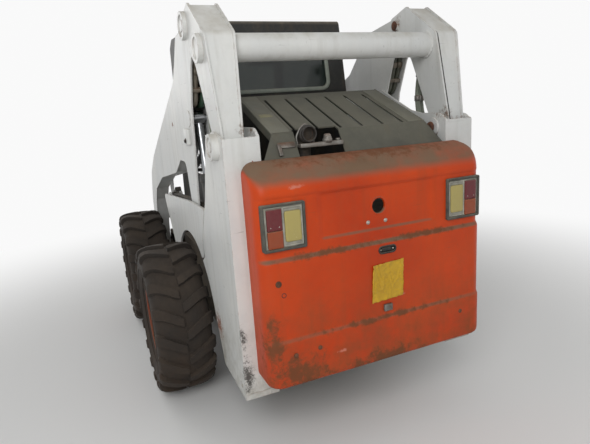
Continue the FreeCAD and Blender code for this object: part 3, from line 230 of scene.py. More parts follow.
def grain():
    # height of a cast, sprayed, woven or moulded surface
    nodes, given, way_out = new_effect("grain", "Height", Scale=200.0, Wave=3.0)
    fine, slow = nodes.noise(given["Scale"], 3.0), nodes.noise(given["Wave"], 2.0)
    nodes.feed(way_out.inputs[0], nodes.maths("ADD", fine, slow))


for effect in (settled_dust, edge_wear, run_down, spot, scuffs, mottle, grain):
    effect()


class Finish:
    # a material that starts as mottled paint, and takes layers of dirt, rust and wear over it

    def __init__(self, name, light, dark, rough, metal=0.0, mottling=4.0, graining=180.0, bump=0.04, soften=0.0):
        self.material = bpy.data.materials.new(name)
        self.material.use_nodes = True
        tree = self.material.node_tree
        self.nodes, self.shader = Nodes(tree), tree.nodes["Principled BSDF"]
        self.rough = rough
        self.colour = self.group("mottle", Light=linear(light), Dark=linear(dark), Scale=mottling)
        height = self.group("grain", Scale=graining)
        lift = self.nodes.add("Bump", {"Strength": bump, "Distance": 0.004, "Height": height})
        if soften:
            bevel = self.nodes.add("Bevel", {"Radius": soften}, samples=4)
            self.nodes.feed(lift.inputs["Normal"], bevel.outputs[0])
        self.set(Base_Color=self.colour, Roughness=rough, Metallic=metal, Normal=lift.outputs[0])

    def group(self, name, **values):
        node = self.nodes.add("Group")
        node.node_tree = GROUPS[name]
        for label, value in values.items():
            node.inputs[label.replace("_", " ")].default_value = value
        return node.outputs[0]

    def over(self, name, colour, rough, share=1.0, **values):
        # lays one effect over what is there, in a colour and roughness of its own
        mask = self.group(name, **values)
        if share < 1.0:
            mask = self.nodes.times(mask, share)
        inputs = {"Factor": mask, 6: self.colour, 7: linear(colour)}
        self.colour = self.nodes.add("Mix", inputs, data_type="RGBA").outputs[2]
        inputs = {"Factor": mask, 2: self.rough, 3: rough}
        self.rough = self.nodes.add("Mix", inputs, data_type="FLOAT").outputs[0]
        return self.set(Base_Color=self.colour, Roughness=self.rough)

    def set(self, **values):
        # links, or values that are the same all over, straight on the shader
        for label, value in values.items():
            self.nodes.feed(self.shader.inputs[label.replace("_", " ")], value)
        return self


RUST, SOIL, DUST = "7a3f1e", "6b563d", "8d8272"


def spots(paint, colour, rough, scale, places):
    # ragged patches: each has its place from the middle of the wheelbase, and its reach along the axes
    for x, y, z, *reach in places:
        paint.over("spot", colour, rough, 0.9, Centre=at(x, y, z), Reach=reach, Scale=scale)


def white_paint(name):
    paint = Finish(name, "dcdcd8", "cbcdcc", 0.38, mottling=2.2, bump=0.05, soften=0.003)
    paint.over("run_down", "8a8474", 0.6, Streaks=0.2, Splash=0.9, Splash_Top=0.72)
    paint.over("settled_dust", "a39b8a", 0.8, Cover=0.5, Film=0.12)
    paint.over("scuffs", "5b5a58", 0.6, Amount=0.35)
    paint.over("edge_wear", RUST, 0.85, Amount=0.6, Width=0.005)
    spots(paint, RUST, 0.9, 45.0, [
        (-1.36, -0.452, 1.405, 0.05, 0.03, 0.045), (-1.08, 0.62, 0.52, 0.12, 0.03, 0.12),
        (-0.34, 0.60, 1.49, 0.05, 0.03, 0.03)])
    # brown stains at the feet and heads of the rear links
    spots(paint, "6b4a30", 0.9, 38.0, [
        (-1.405, -0.50, 1.46, 0.10, 0.07, 0.06), (-1.405, 0.50, 1.46, 0.10, 0.06, 0.05),
        (-1.42, -0.57, 1.44, 0.04, 0.08, 0.03), (-1.035, -0.485, 1.92, 0.07, 0.02, 0.075),
        (-1.035, 0.485, 1.92, 0.06, 0.02, 0.06), (-1.37, -0.466, 1.39, 0.05, 0.012, 0.06)])
    # black scrapes at the feet of the uprights
    spots(paint, "3a3733", 0.8, 60.0, [
        (-1.452, 0.60, 0.42, 0.05, 0.045, 0.16), (-1.452, 0.61, 0.60, 0.03, 0.03, 0.09),
        (-1.452, -0.60, 0.44, 0.05, 0.045, 0.14)])
    return paint.set(Specular_IOR_Level=0.35)


def orange_paint(name):
    paint = Finish(name, "cd4710", "b03206", 0.36, mottling=1.6, bump=0.05, soften=0.004)
    paint.over("run_down", "74492a", 0.75, Streaks=0.2, Splash=0.95, Splash_Top=0.95)
    paint.over("settled_dust", "6f5844", 0.9, Cover=1.7, Film=0.12, Scale=2.5)
    paint.over("settled_dust", "77614e", 0.9, Cover=1.5, Film=0.0, Scale=6.0)
    # dirt on the lower corners, the ledges and the roll
    spots(paint, "6b432a", 0.85, 18.0, [
        (-1.61, 0.42, 0.46, 0.14, 0.26, 0.15), (-1.61, 0.02, 0.42, 0.14, 0.42, 0.09),
        (-1.60, 0.52, 0.60, 0.14, 0.09, 0.20), (-1.60, 0.25, 0.957, 0.12, 0.42, 0.030),
        (-1.60, -0.25, 0.957, 0.12, 0.42, 0.026), (-1.61, 0.0, 0.612, 0.12, 0.65, 0.026),
        (-1.50, 0.0, 1.345, 0.16, 0.80, 0.085)])
    # rubbed, paler places
    spots(paint, "c77a66", 0.6, 50.0, [
        (-1.60, -0.09, 0.70, 0.10, 0.045, 0.012), (-1.60, 0.22, 0.51, 0.10, 0.05, 0.012),
        (-1.60, 0.38, 1.24, 0.10, 0.06, 0.016)])
    paint.over("scuffs", "8e4a2c", 0.6, Amount=0.4)
    paint.over("edge_wear", "a8705a", 0.7, Amount=0.45, Width=0.006)
    return paint.set(Specular_IOR_Level=0.25)


def worn_paint(name, light, dark, rough=0.55, cover=0.6, film=0.25, dust=DUST, wear=RUST):
    paint = Finish(name, light, dark, rough, mottling=5.0, bump=0.08, soften=0.003)
    paint.over("run_down", SOIL, 0.8, Streaks=0.2, Splash=0.6)
    paint.over("settled_dust", dust, 0.9, Cover=cover, Film=film)
    paint.over("edge_wear", wear, 0.8, Amount=0.5, Width=0.004)
    return paint.set(Specular_IOR_Level=0.3)


def glassy(name, colour, rough, see_through):
    # lamp lenses and cab glass, with a little dust
    finish = Finish(name, colour, colour, rough, bump=0.02, graining=90.0)
    finish.over("settled_dust", "857b6a", 0.7, Cover=0.5, Film=0.1)
    return finish.set(Transmission_Weight=see_through, IOR=1.49)


# light, dark, roughness, then how dust covers it, its film, and the colours of dust and of worn edges
WORN = {
    "chassis_paint": ("4a4741", "33312c"),
    "hood_paint": ("5a594f", "464640", 0.7, 0.9, 0.4, "67655a", "3a3a36"),
    "hood_strip": ("7a796d", "626158", 0.6, 0.6, 0.3, "6f6d60", "3a3a36"),
    "cab_paint": ("262726", "191a1a", 0.55, 0.5, 0.1),
    "screen_steel": ("262726", "1a1b1a", 0.55, 0.4, 0.1),
    "black_steel": ("262626", "181818", 0.45, 0.4, 0.14),
    "engine_iron": ("42413e", "262523", 0.6, 0.7, 0.4),
    "exhaust_iron": ("2b2826", "1a1817", 0.7, 0.3, 0.2),
    "cylinder_paint": ("33373a", "212426", 0.55, 0.5, 0.25),
    "rim_paint": ("a8432a", "7e2c18", 0.5, 0.5, 0.35, SOIL),
}
# light, dark, roughness, metal, fineness of the mottling and of the grain, height of the grain
PLAIN = {
    "rod_chrome": ("9a9c9e", "7f8183", 0.2, 1.0, 4, 180, 0.01),
    "tyre_rubber": ("28221d", "191613", 0.86, 0.0, 7, 140, 0.25),
    "seat_vinyl": ("262626", "1a1a1a", 0.5, 0.0, 4, 420, 0.2),
    "grip_plastic": ("1c1c1c", "121212", 0.5, 0.0, 4, 180, 0.1),
    "lamp_plastic": ("b4b2a6", "77786f", 0.6, 0.0, 22, 180, 0.12),
    # finishes that only the scene's own pieces have
    "worn_rubber": ("4b4c49", "262724", 0.75, 0.0, 30, 180, 0.2),
    "yellow_film": ("cda31a", "b98f12", 0.42, 0.0, 14, 180, 0.05),
    "faded_film": ("837d58", "6a6650", 0.6, 0.0, 30, 180, 0.05),
    "screw_zinc": ("c6c3ba", "8f8c84", 0.35, 0.8, 40, 180, 0.05),
    "rusty_bolt": ("7a5138", "4d3222", 0.8, 0.2, 40, 180, 0.2),
    "bare_steel": ("8f8e89", "5c5a55", 0.5, 0.55, 26, 180, 0.12),
    "exhaust_lip": ("3c3835", "221f1d", 0.6, 0.3, 26, 180, 0.2),
    "green_line": ("27503a", "173324", 0.45, 0.0, 16, 180, 0.08),
    # a painted shade colour, for the dark lines beside the rear links' cover plates
    "painted_gap_shade": ("2b2723", "1a1715", 0.9, 0.0, 30, 180, 0.1),
    "hose_sleeve": ("7f8476", "5a5f54", 0.7, 0.0, 22, 180, 0.15),
    "olive_line": ("56584a", "383a30", 0.55, 0.0, 16, 180, 0.1),
    "pin_rust": ("6a3f28", "2e1d15", 0.85, 0.0, 60, 180, 0.25),
    "grey_line": ("8a8478", "5e574b", 0.5, 0.3, 16, 180, 0.08),
    "window_rubber": ("8f968c", "6b7169", 0.65, 0.0, 12, 180, 0.08),
}
# colour, roughness, how far it lets light through
GLASSY = {
    "cab_glass": ("1d2624", 0.08, 0.75), "lens_red": ("660414", 0.16, 0.15),
    "lens_amber": ("943c08", 0.2, 0.15), "lens_clear": ("b3a45f", 0.24, 0.15),
}
# colour and film of a dust over a plain finish
DUSTED = {
    "yellow_film": ("7d6a3a", 0.35), "bare_steel": ("6b4a33", 0.5), "green_line": ("5b5546", 0.4),
    "grey_line": ("6b4f38", 0.4), "window_rubber": ("6f6a5c", 0.4), "screw_zinc": ("6b4a33", 0.4),
    "worn_rubber": ("77705f", 0.5), "lamp_plastic": ("6f6a58", 0.4),
}

FINISHES = {maker.__name__: maker(maker.__name__) for maker in (white_paint, orange_paint)}
for maker, rows in ((worn_paint, WORN), (Finish, PLAIN), (glassy, GLASSY)):
    FINISHES.update((name, maker(name, *row)) for name, row in rows.items())
FINISHES["tyre_rubber"].over("run_down", "433427", 0.95, Streaks=0.1, Splash=0.55, Splash_Top=0.9)
FINISHES["tyre_rubber"].over("settled_dust", "453b31", 0.95, Cover=0.45, Film=0.35)
FINISHES["seat_vinyl"].over("settled_dust", "776d5f", 0.9, Cover=0.5, Film=0.1)
for name, (colour, film) in DUSTED.items():
    FINISHES[name].over("settled_dust", colour, 0.85, Cover=0.6, Film=film, Scale=12.0)

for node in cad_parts.values():
    slot = node.material_slots[0].material.name.split(".")[0]
    node.material_slots[0].material = FINISHES[slot].material


# Making pieces


def mesh_of(name, verts, faces):
    # a mesh with its points joined and its faces turned outward
    mesh = bpy.data.meshes.new(name)
    mesh.from_pydata([tuple(p) for p in verts], [], faces)
    mesh.update()
    shaped = bmesh.new()
    shaped.from_mesh(mesh)
    bmesh.ops.remove_doubles(shaped, verts=shaped.verts, dist=1e-6)
    bmesh.ops.recalc_face_normals(shaped, faces=shaped.faces)
    shaped.to_mesh(mesh)
    shaped.free()
    return mesh


def angles(count):
    return [math.tau * k / count for k in range(count)]


def eased(value, low, high):
    share = min(max((value - low) / (high - low), 0), 1)
    return share * share * (3 - 2 * share)


def rounded(half_u, half_v, radius, steps=5):
    # outline of a rectangle with round corners
    radius = max(min(radius, half_u, half_v), 0.0004)
    points = []
    for k, (a, b) in enumerate(((1, 1), (-1, 1), (-1, -1), (1, -1))):
        for i in range(steps + 1):
            t = math.pi / 2 * (k + i / steps)
            points.append((a * (half_u - radius) + radius * math.cos(t),
                           b * (half_v - radius) + radius * math.sin(t)))
    return points


def smooth_path(points, steps=6):
    # a curve through every point
    ends = [points[0] * 2 - points[1]] + list(points) + [points[-1] * 2 - points[-2]]
    path = []
    for a, b, c, d in zip(ends, ends[1:], ends[2:], ends[3:]):
        for i in range(steps):
            t = i / steps
            path.append(((b * 2) + (c - a) * t + (a * 2 - b * 5 + c * 4 - d) * t ** 2
                         + (b * 3 - a - c * 3 + d) * t ** 3) / 2)
    return path + [points[-1]]


class Face:
    # a flat place to build on: its middle, and two directions along it

    def __init__(self, middle, u, v):
        self.middle, self.u, self.v = middle, u.normalized(), v.normalized()
        self.out = self.u.cross(self.v).normalized()

    def put(self, a, b, height=0.0):
        return self.middle + self.u * a + self.v * b + self.out * height


class Bits:
    # many small forms gathered into one mesh

    def __init__(self):
        self.verts, self.faces = [], []

    def grid(self, rows, closed_row=True, caps=True):
        # rows of points joined into a skin; each row is a ring when closed_row
        start, width = len(self.verts), len(rows[0])
        for row in rows:
            self.verts += row
        for i in range(len(rows) - 1):
            for j in range(width if closed_row else width - 1):
                a, b = start + i * width + j, start + i * width + (j + 1) % width
                self.faces.append((a, b, b + width, a + width))
        if caps:
            for first in (start, start + (len(rows) - 1) * width):
                self.faces.append(tuple(first + j for j in range(width)))
        return self

    def turned(self, centre, axis, profile, sides=24, caps=True):
        # (distance along the axis, radius) turned about it
        axis = axis.normalized()
        one = axis.orthogonal().normalized()
        two = axis.cross(one)
        rows = [[centre + axis * h + (one * math.cos(t) + two * math.sin(t)) * r for t in angles(sides)]
                for h, r in profile]
        return self.grid(rows, True, caps)

    def bolt(self, centre, axis, radius, height):
        # a hexagon head on its washer
        self.turned(centre, axis, [(-0.002, radius * 1.5), (height * 0.25, radius * 1.5)], 18)
        head = [(height * 0.2, radius), (height, radius), (height * 1.15, radius * 0.8)]
        return self.turned(centre, axis, head, 6)

    def box(self, low, high):
        corners = ((low.x, low.y), (high.x, low.y), (high.x, high.y), (low.x, high.y))
        return self.grid([[Vector((x, y, z)) for x, y in corners] for z in (low.z, high.z)])

    def rings(self, face, shape, levels, steps):
        # the outline of shape (middle u, middle v, half u, half v, corner) at each (inset, height)
        u, v, half_u, half_v, corner = shape
        return [[face.put(u + a, v + b, height)
                 for a, b in rounded(half_u - inset, half_v - inset, corner - inset, steps)]
                for inset, height in levels]

    def plate(self, face, shape, levels):
        return self.grid(self.rings(face, shape, levels, 5))

    def rim(self, face, shape, width, low, high, edge=0.002, steps=5):
        # a ring that follows a plate's outline, width wide
        levels = ((0, low), (0, high - edge), (edge, high), (width - edge, high), (width, high - edge),
                  (width, low))
        rows = self.rings(face, shape, levels, steps)
        return self.grid(rows + [rows[0]], True, False)

    def pipe(self, points, radius, sides=12, steps=6, ripple=0.0):
        path = smooth_path(points, steps)
        rows, across = [], None
        for i, place in enumerate(path):
            along = (path[min(i + 1, len(path) - 1)] - path[max(i - 1, 0)]).normalized()
            across = along.orthogonal() if across is None else across - along * across.dot(along)
            across.normalize()
            other = along.cross(across)
            size = radius * (1 + ripple * math.sin(i * 2.3) + ripple * math.sin(i * 5.1))
            rows.append([place + (across * math.cos(t) + other * math.sin(t)) * size for t in angles(sides)])
        return self.grid(rows)

    def make(self, name, body, slot, replaces=(), finish=None):
        # a piece that rides on a body, in the slot's finish or in one of its own
        item = placed(name, mesh_of(name, self.verts, self.faces))
        item.data.polygons.foreach_set("use_smooth", [True] * len(item.data.polygons))
        item.data.materials.append(FINISHES[finish or slot].material)
        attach(item, body)
        if replaces:
            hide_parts(*replaces)
        return item


def flat_by_angle(item, degrees):
    # smooth only across gentle edges
    shaped = bmesh.new()
    shaped.from_mesh(item.data)
    for edge in shaped.edges:
        if len(edge.link_faces) == 2 and edge.calc_face_angle() > math.radians(degrees):
            edge.smooth = False
    shaped.to_mesh(item.data)
    shaped.free()


def settled(item):
    # works the piece's modifiers into its mesh
    graph = bpy.context.evaluated_depsgraph_get()
    graph.update()
    mesh = bpy.data.meshes.new_from_object(item.evaluated_get(graph))
    item.modifiers.clear()
    item.data = mesh


def carved(item, bits):
    # cuts the closed forms in bits out of a piece
    cutter = placed("cutter", mesh_of("cutter", bits.verts, bits.faces))
    boolean = item.modifiers.new("holes", "BOOLEAN")
    boolean.operation, boolean.solver, boolean.object = "DIFFERENCE", "EXACT", cutter
    settled(item)
    bpy.data.objects.remove(cutter)


def rear_face(x):
    # the plane of a rear face: u runs to the right as seen from behind, v is the height
    return Face(at(x, 0, 0), -Y, Z)


# Tyres: worn chevron lugs on a bulging carcass

# (radius, distance from the tyre's middle) of the carcass, from bead to bead
CARCASS = [(0.2143, 0.111), (0.236, 0.1125), (0.262, 0.128), (0.292, 0.1445), (0.325, 0.1465), (0.352, 0.141),
           (0.376, 0.128), (0.390, 0.105), (0.396, 0.06), (0.3975, 0.0)]
# along one lug, from the centre of the tread to the sidewall: top (radius, out), turn about the axle, half width
LUG_TOP = [(0.4190, 0.004), (0.4198, 0.03), (0.4190, 0.062), (0.4165, 0.094), (0.4100, 0.122), (0.3985, 0.142),
           (0.3790, 0.1510), (0.3560, 0.1505)]
LUG_TURN = [0.0, 0.030, 0.078, 0.122, 0.150, 0.163, 0.168, 0.168]
LUG_HALF = [0.058, 0.062, 0.064, 0.066, 0.070, 0.074, 0.074, 0.060]
LUG_ROOT = [0.386, 0.386, 0.385, 0.382, 0.377, 0.368, 0.352, 0.340]
LUG_COUNT = 18


def tyre(name, body, centre, side):
    bits = Bits()
    out = Vector((0, side, 0))

    def spot(radius, across, angle):
        return centre + out * across + Vector((math.cos(angle), 0, math.sin(angle))) * radius

    def around(ring):
        # ring gives a closed row of points at an angle about the axle
        rows = [ring(t) for t in angles(96)]
        bits.grid(rows + [rows[0]], True, False)

    profile = CARCASS + [(r, -w) for r, w in CARCASS[-2::-1]] + [(0.2143, -0.02), (0.2143, 0.02)]
    around(lambda t: [spot(r, w, t) for r, w in profile])
    for hand in SIDES:
        for k in range(LUG_COUNT):
            start = math.tau * (k + (0.25 if hand > 0 else 0.75)) / LUG_COUNT
            rows = []
            for (radius, across), turned, half, root in zip(LUG_TOP, LUG_TURN, LUG_HALF, LUG_ROOT):
                ring = []
                for share, lift in ((-1.12, 0), (-1.0, 0.8), (-0.9, 1), (0.9, 1), (1.0, 0.8), (1.12, 0)):
                    angle = start - turned + half * share
                    worn = noise.noise(Vector((math.cos(angle) * 9, across * 22 * hand, math.sin(angle) * 9)))
                    top = radius - 0.0022 + 0.0022 * worn
                    r = root + (top - root) * lift
                    sunk = across - 0.012 * (1 - lift) * (across > 0.1)
                    ring.append(spot(r, hand * sunk, angle))
                rows.append(ring)
            bits.grid(rows)
    # two fine moulded ribs round each sidewall
    for hand in SIDES:
        for radius, reach in ((0.262, 0.1288), (0.300, 0.1462)):
            around(lambda t: [spot(radius + 0.0035 * math.cos(a), hand * (reach + 0.0022 * math.sin(a)), t)
                              for a in angles(6)])
    flat_by_angle(bits.make(name, body, "tyre_rubber", [name.replace("_tread", "")]), 38)


for end, axle in (("front", FRONT_AXLE), ("rear", REAR_AXLE)):
    for word, side in (("left", LEFT), ("right", RIGHT)):
        centre = Vector((axle.x, side * abs(axle.y), axle.z))
        tyre(f"tyre_{end}_{word}_tread", f"wheel_{end}_{word}", centre, side)


# Tailgate: one pressed skin with a rolled top, soft ledges and a shallow panel

DOOR_FRONT, DOOR_HALF, DOOR_CORNER = 1.4523, 0.555, 0.052
DOOR_FOOT, DOOR_TOP, DOOR_ROLL, DOOR_SHEET = 0.404, 1.340, 0.128, 0.006
UPPER, MIDDLE, LOWER = 1.588, 1.600, 1.6085
CREASE = 1.205
KEY_HOLE = (0.0, 1.112, 0.033)
LATCH = (0.026, 0.919, 0.043, 0.016, 0.0155)
LAMP_Y, LAMP_Z, LAMP_HALF_Y, LAMP_HALF_Z = 0.4425, 1.0905, 0.0925, 0.0945


def door_outline(depth, z):
    # one row of the skin: side, corner, rear, corner, side, at a height
    half = DOOR_HALF
    for radius, middle, above in ((0.052, DOOR_TOP - 0.052, True), (0.03, DOOR_FOOT + 0.03, False)):
        over = z - middle if above else middle - z
        if over > 0:
            half -= radius - math.sqrt(max(radius ** 2 - over ** 2, 0))
    corner = min(DOOR_CORNER, depth * 0.98)
    row = [(depth * share * 0.999 - corner * share, -half) for share in (0, 0.35, 0.7)]
    arc = [(depth - corner + corner * math.sin(t), half - corner + corner * math.cos(t))
           for t in (math.pi / 2 * i / 7 for i in range(8))]
    row += [(x, -y) for x, y in arc]
    row += [(depth, (half - corner) * (2 * i / 92 - 1)) for i in range(1, 92)]
    row += arc[::-1]
    row += [(depth * share * 0.999 - corner * share, half) for share in (0.7, 0.35, 0)]
    return [(x, y, min(max(x / max(depth, 1e-6) - 0.7, 0) / 0.3, 1)) for x, y in row]


def door_push(y, z):
    # how far the rear stands out from its plane, without the ledges
    push = 0.0045 * eased(z, CREASE - 0.004, CREASE + 0.005) * (1 - eased(z, 1.25, 1.33))
    panel = 1 - eased(abs(y), 0.266, 0.294)
    panel *= eased(z, 1.003, 1.024) * (1 - eased(z, CREASE - 0.014, CREASE))
    push -= 0.007 * panel
    push += 0.0016 * noise.noise(Vector((y * 3.1, z * 3.1, 4.0))) * (1 - panel * 0.5)
    # knocks in the lower part
    for dent_y, dent_z, reach, deep in ((0.42, 0.52, 0.05, 0.004), (-0.30, 0.47, 0.06, 0.004),
                                        (0.12, 0.66, 0.045, 0.0025), (-0.47, 0.78, 0.04, 0.003),
                                        (0.50, 0.93, 0.03, 0.002), (-0.1, 1.27, 0.05, 0.003)):
        push -= deep * math.exp(-((y - dent_y) ** 2 + (z - dent_z) ** 2) / reach ** 2)
    return push


def tailgate_skin():
    profile = [(share * (LOWER - DOOR_FRONT - 0.018), DOOR_FOOT) for share in (0.02, 0.4, 0.8, 1.0)]
    profile += [(LOWER - DOOR_FRONT - 0.018 * (1 - math.sin(t)), DOOR_FOOT + 0.018 * (1 - math.cos(t)))
                for t in (math.pi / 2 * i / 4 for i in range(1, 5))]
    height = DOOR_FOOT + 0.03
    while height < DOOR_TOP - DOOR_ROLL - 0.003:
        depth = UPPER - DOOR_FRONT
        depth += (MIDDLE - UPPER) * (1 - eased(height, 0.943, 0.969))
        depth += (LOWER - MIDDLE) * (1 - eased(height, 0.600, 0.626))
        profile.append((depth, height))
        fine = min(abs(height - edge) for edge in (0.613, 0.956, 1.0135, CREASE)) < 0.022
        height += 0.0036 if fine else 0.011
    for i in range(19):
        t = math.pi / 2 * i / 18
        profile.append((UPPER - DOOR_FRONT - DOOR_ROLL * (1 - math.cos(t)),
                        DOOR_TOP - DOOR_ROLL + DOOR_ROLL * math.sin(t)))
    profile.append((0.003, DOOR_TOP))
    rows = []
    for depth, z in profile:
        rows.append([at(-DOOR_FRONT - x - door_push(y, z) * share * (depth > 0.1), y, z)
                     for x, y, share in door_outline(depth, z)])
    bits = Bits().grid(rows, False, False)
    item = bits.make("tailgate_skin", "tailgate", "orange_paint", ["tailgate"])
    thick = item.modifiers.new("sheet", "SOLIDIFY")
    thick.thickness, thick.offset = DOOR_SHEET, -1
    cutters = Bits()
    back = rear_face(-1.62)
    cutters.turned(back.put(KEY_HOLE[0], KEY_HOLE[1], 0.05), X, [(0, KEY_HOLE[2]), (0.16, KEY_HOLE[2])], 48)
    cutters.plate(back, LATCH, [(0, 0.05), (0, -0.1)])
    for side in SIDES:
        cutters.plate(back, (-side * LAMP_Y, LAMP_Z, LAMP_HALF_Y - 0.0005, LAMP_HALF_Z - 0.0005, 0.006),
                      [(0, 0.05), (0, -0.1)])
    settled(item)
    carved(item, cutters)
    flat_by_angle(item, 40)


def tailgate_fittings():
    upper, middle, lower, panel = (rear_face(-x) for x in (UPPER, MIDDLE, LOWER, UPPER - 0.0065))
    hinges = Bits()
    for z in (0.560, 1.130):
        hinges.turned(at(-1.462, -0.562, z - 0.0298), Z,
                      [(0, 0.0075), (0.001, 0.0088), (0.0586, 0.0088), (0.0596, 0.0075)], 20)
        hinges.box(at(-1.500, -0.5575, z - 0.028), at(-1.462, -0.552, z + 0.028))
    hinges.make("tailgate_hinge_knuckles", "tailgate", "orange_paint")
    collar = Bits()
    collar.turned(panel.put(KEY_HOLE[0], KEY_HOLE[1]), -X,
                  [(-0.012, 0.0325), (0.0, 0.0325), (0.0016, 0.034), (0.0012, 0.038), (-0.001, 0.040)], 48, False)
    collar.make("key_hole_collar", "tailgate", "orange_paint")
    cup, screws = Bits(), Bits()
    u, v = LATCH[:2]
    cup.rim(middle, (u, v, 0.0455, 0.0185, 0.018), 0.0075, -0.002, 0.0034, 0.0015)
    cup.plate(middle, (u, v, 0.0395, 0.0125, 0.012), [(0, -0.011), (0, -0.004), (0.003, -0.0065)])
    cup.plate(middle, (u - 0.004, v + 0.001, 0.024, 0.0085, 0.008), [(0, -0.006), (0, -0.001), (0.002, 0.0012)])
    cup.make("tailgate_latch_paddle", "tailgate", "black_steel", ["tailgate_latch"])
    for off in (-0.031, 0.031):
        screws.turned(middle.put(u + off, v, -0.006), -X, [(0, 0.0045), (0.004, 0.0045), (0.0055, 0.003)], 12)
    for side in SIDES:
        for u in (-0.018, 0.018):
            screws.turned(upper.put(-side * (LAMP_Y + 0.040) + u, LAMP_Z + 0.004, 0.011), -X,
                          [(0, 0.0032), (0.002, 0.0032), (0.003, 0.002)], 12)
    for y, z in ((0.055, 1.046), (-0.032, 1.044)):
        screws.turned(panel.put(-y, z), -X, [(-0.001, 0.009), (0.001, 0.009), (0.0022, 0.0075)], 20)
        screws.turned(panel.put(-y, z), -X, [(0, 0.0055), (0.0042, 0.0055), (0.006, 0.0035)], 12)
    screws.make("tailgate_screws", "tailgate", "rod_chrome", finish="screw_zinc")
    bolts = Bits()
    bolts.bolt(middle.put(-0.486, 0.863), -X, 0.009, 0.006)
    for y, z in ((0.435, 0.546), (0.324, 0.553), (-0.42, 0.545)):
        bolts.turned(lower.put(-y, z), -X, [(-0.001, 0.010), (0.0012, 0.010), (0.0030, 0.0065)], 16)
    bolts.make("tailgate_bolts", "tailgate", "black_steel", finish="rusty_bolt")
    plug = Bits()
    plug.turned(middle.put(-0.466, 0.812), -X,
                [(-0.001, 0.0105), (0.0007, 0.0105), (0.0002, 0.008), (-0.0005, 0.006)], 20)
    plug.make("tailgate_plug", "tailgate", "grip_plastic")
    stub = Bits()
    stub.plate(middle, (0.020, 0.655, 0.021, 0.016, 0.003), [(0, -0.002), (0, 0.0085), (0.002, 0.0105)])
    stub.rim(middle, (0.020, 0.653, 0.013, 0.009, 0.003), 0.003, 0.009, 0.0115, 0.0006)
    stub.make("lock_stub", "tailgate", "cylinder_paint", finish="bare_steel")


def blank_sticker():
    # a wrinkled yellow film without print
    face = rear_face(-MIDDLE)
    columns, lines = 40, 46
    tops, unders = [], []
    for j in range(lines + 1):
        top, under = [], []
        for i in range(columns + 1):
            a, b = 2 * i / columns - 1, 2 * j / lines - 1
            u = 0.024 + a * 0.080 + 0.004 * b
            v = 0.776 + b * 0.085 + 0.004 * a
            ragged = noise.noise(Vector((a * 4, b * 4, 9.0))) * 0.0016
            u += ragged * (abs(a) > 0.95)
            v += ragged * (abs(b) > 0.95)
            fold = 1 - abs(noise.noise(Vector((a * 3.2 + b * 0.6, b * 0.9, 2.0)))) * 5
            cross_fold = 1 - abs(noise.noise(Vector((a * 1.5 - b * 1.2, b * 2.4, 7.0)))) * 7
            lift = 0.0006 + 0.0050 * max(fold, 0) ** 2 + 0.0030 * max(cross_fold, 0) ** 2
            lift += 0.003 * eased(abs(a), 0.86, 1.0) * (a < 0)
            top.append(face.put(u, v, lift + 0.0006))
            under.append(face.put(u, v, lift - 0.0004))
        tops.append(top)
        unders.append(under)
    rows = [a + b[::-1] for a, b in zip(tops, unders)]
    Bits().grid(rows).make("blank_yellow_sticker", "tailgate", "lamp_plastic", finish="yellow_film")


def lamps():
    face = rear_face(-UPPER)
    frames, borders, reds, ambers, clears = (Bits() for _ in range(5))
    glass = [(0, 0.002), (0, 0.0105), (0.0012, 0.0125), (0.004, 0.0134), (0.012, 0.0138)]
    for side in SIDES:
        middle = -side * LAMP_Y
        inner, outer = middle + side * 0.0375, middle - side * 0.0400
        frames.rim(face, (middle, LAMP_Z, LAMP_HALF_Y, LAMP_HALF_Z, 0.008), 0.0105, -0.028, 0.0135, 0.002)
        borders.plate(face, (middle, LAMP_Z, LAMP_HALF_Y - 0.010, LAMP_HALF_Z - 0.010, 0.005),
                      [(0, -0.028), (0, 0.0045), (0.002, 0.0065)])
        borders.rim(face, (inner, LAMP_Z, 0.0425, 0.0800, 0.006), 0.0065, 0.004, 0.0105, 0.0015)
        borders.rim(face, (inner, LAMP_Z, 0.0372, 0.0650, 0.010), 0.0025, 0.006, 0.0085, 0.0008)
        borders.rim(face, (outer, LAMP_Z, 0.0360, 0.0820, 0.005), 0.0028, 0.004, 0.0098, 0.0008)
        reds.plate(face, (outer, LAMP_Z + 0.0325, 0.0322, 0.0430, 0.004), glass)
        ambers.plate(face, (outer, LAMP_Z - 0.0470, 0.0322, 0.0352, 0.004), glass)
        clears.plate(face, (inner, LAMP_Z, 0.0345, 0.0622, 0.009), glass)
    frames.make("lamp_frames", "tailgate", "grip_plastic", ["lamp_housings"], "worn_rubber")
    borders.make("lamp_borders", "tailgate", "lamp_plastic")
    reds.make("red_lenses", "tailgate", "lens_red", ["lens_red"])
    ambers.make("amber_lenses", "tailgate", "lens_amber", ["lens_amber"])
    clears.make("reversing_lenses", "tailgate", "lens_clear", ["lens_clear"])


tailgate_skin()
tailgate_fittings()
blank_sticker()
lamps()


# Hood, exhaust and the welds round them

SLOPE = Face(at(-0.970, 0, 1.606), -Y, Vector((0.422, 0, 0.169)))
SLOPE_LENGTH = math.hypot(0.422, 0.169)


def hood_trim():
    # down the slope is -v
    label = Bits()
    label.plate(SLOPE, (-0.342, -0.262, 0.030, 0.017, 0.003), [(0, 0.0033), (0, 0.0042), (0.0003, 0.0044)])
    label.make("blank_hood_label", "hood", "lamp_plastic", finish="faded_film")
    folds = Bits()
    for side in SIDES:
        folds.plate(SLOPE, (side * 0.342, -SLOPE_LENGTH / 2 - 0.004, 0.042, SLOPE_LENGTH / 2 - 0.012, 0.008),
                    [(0, -0.001), (0, 0.0025), (0.0015, 0.0038)])
        folds.pipe([SLOPE.put(side * 0.3865, -s, 0.0005) for s in (0.004, 0.15, 0.30, SLOPE_LENGTH - 0.004)],
                   0.0042, 8, 4)
    # the folds take the lighter strip finish: a painted highlight along the hood's folded edges
    folds.make("hood_folded_edges", "hood", "hood_paint", finish="hood_strip")


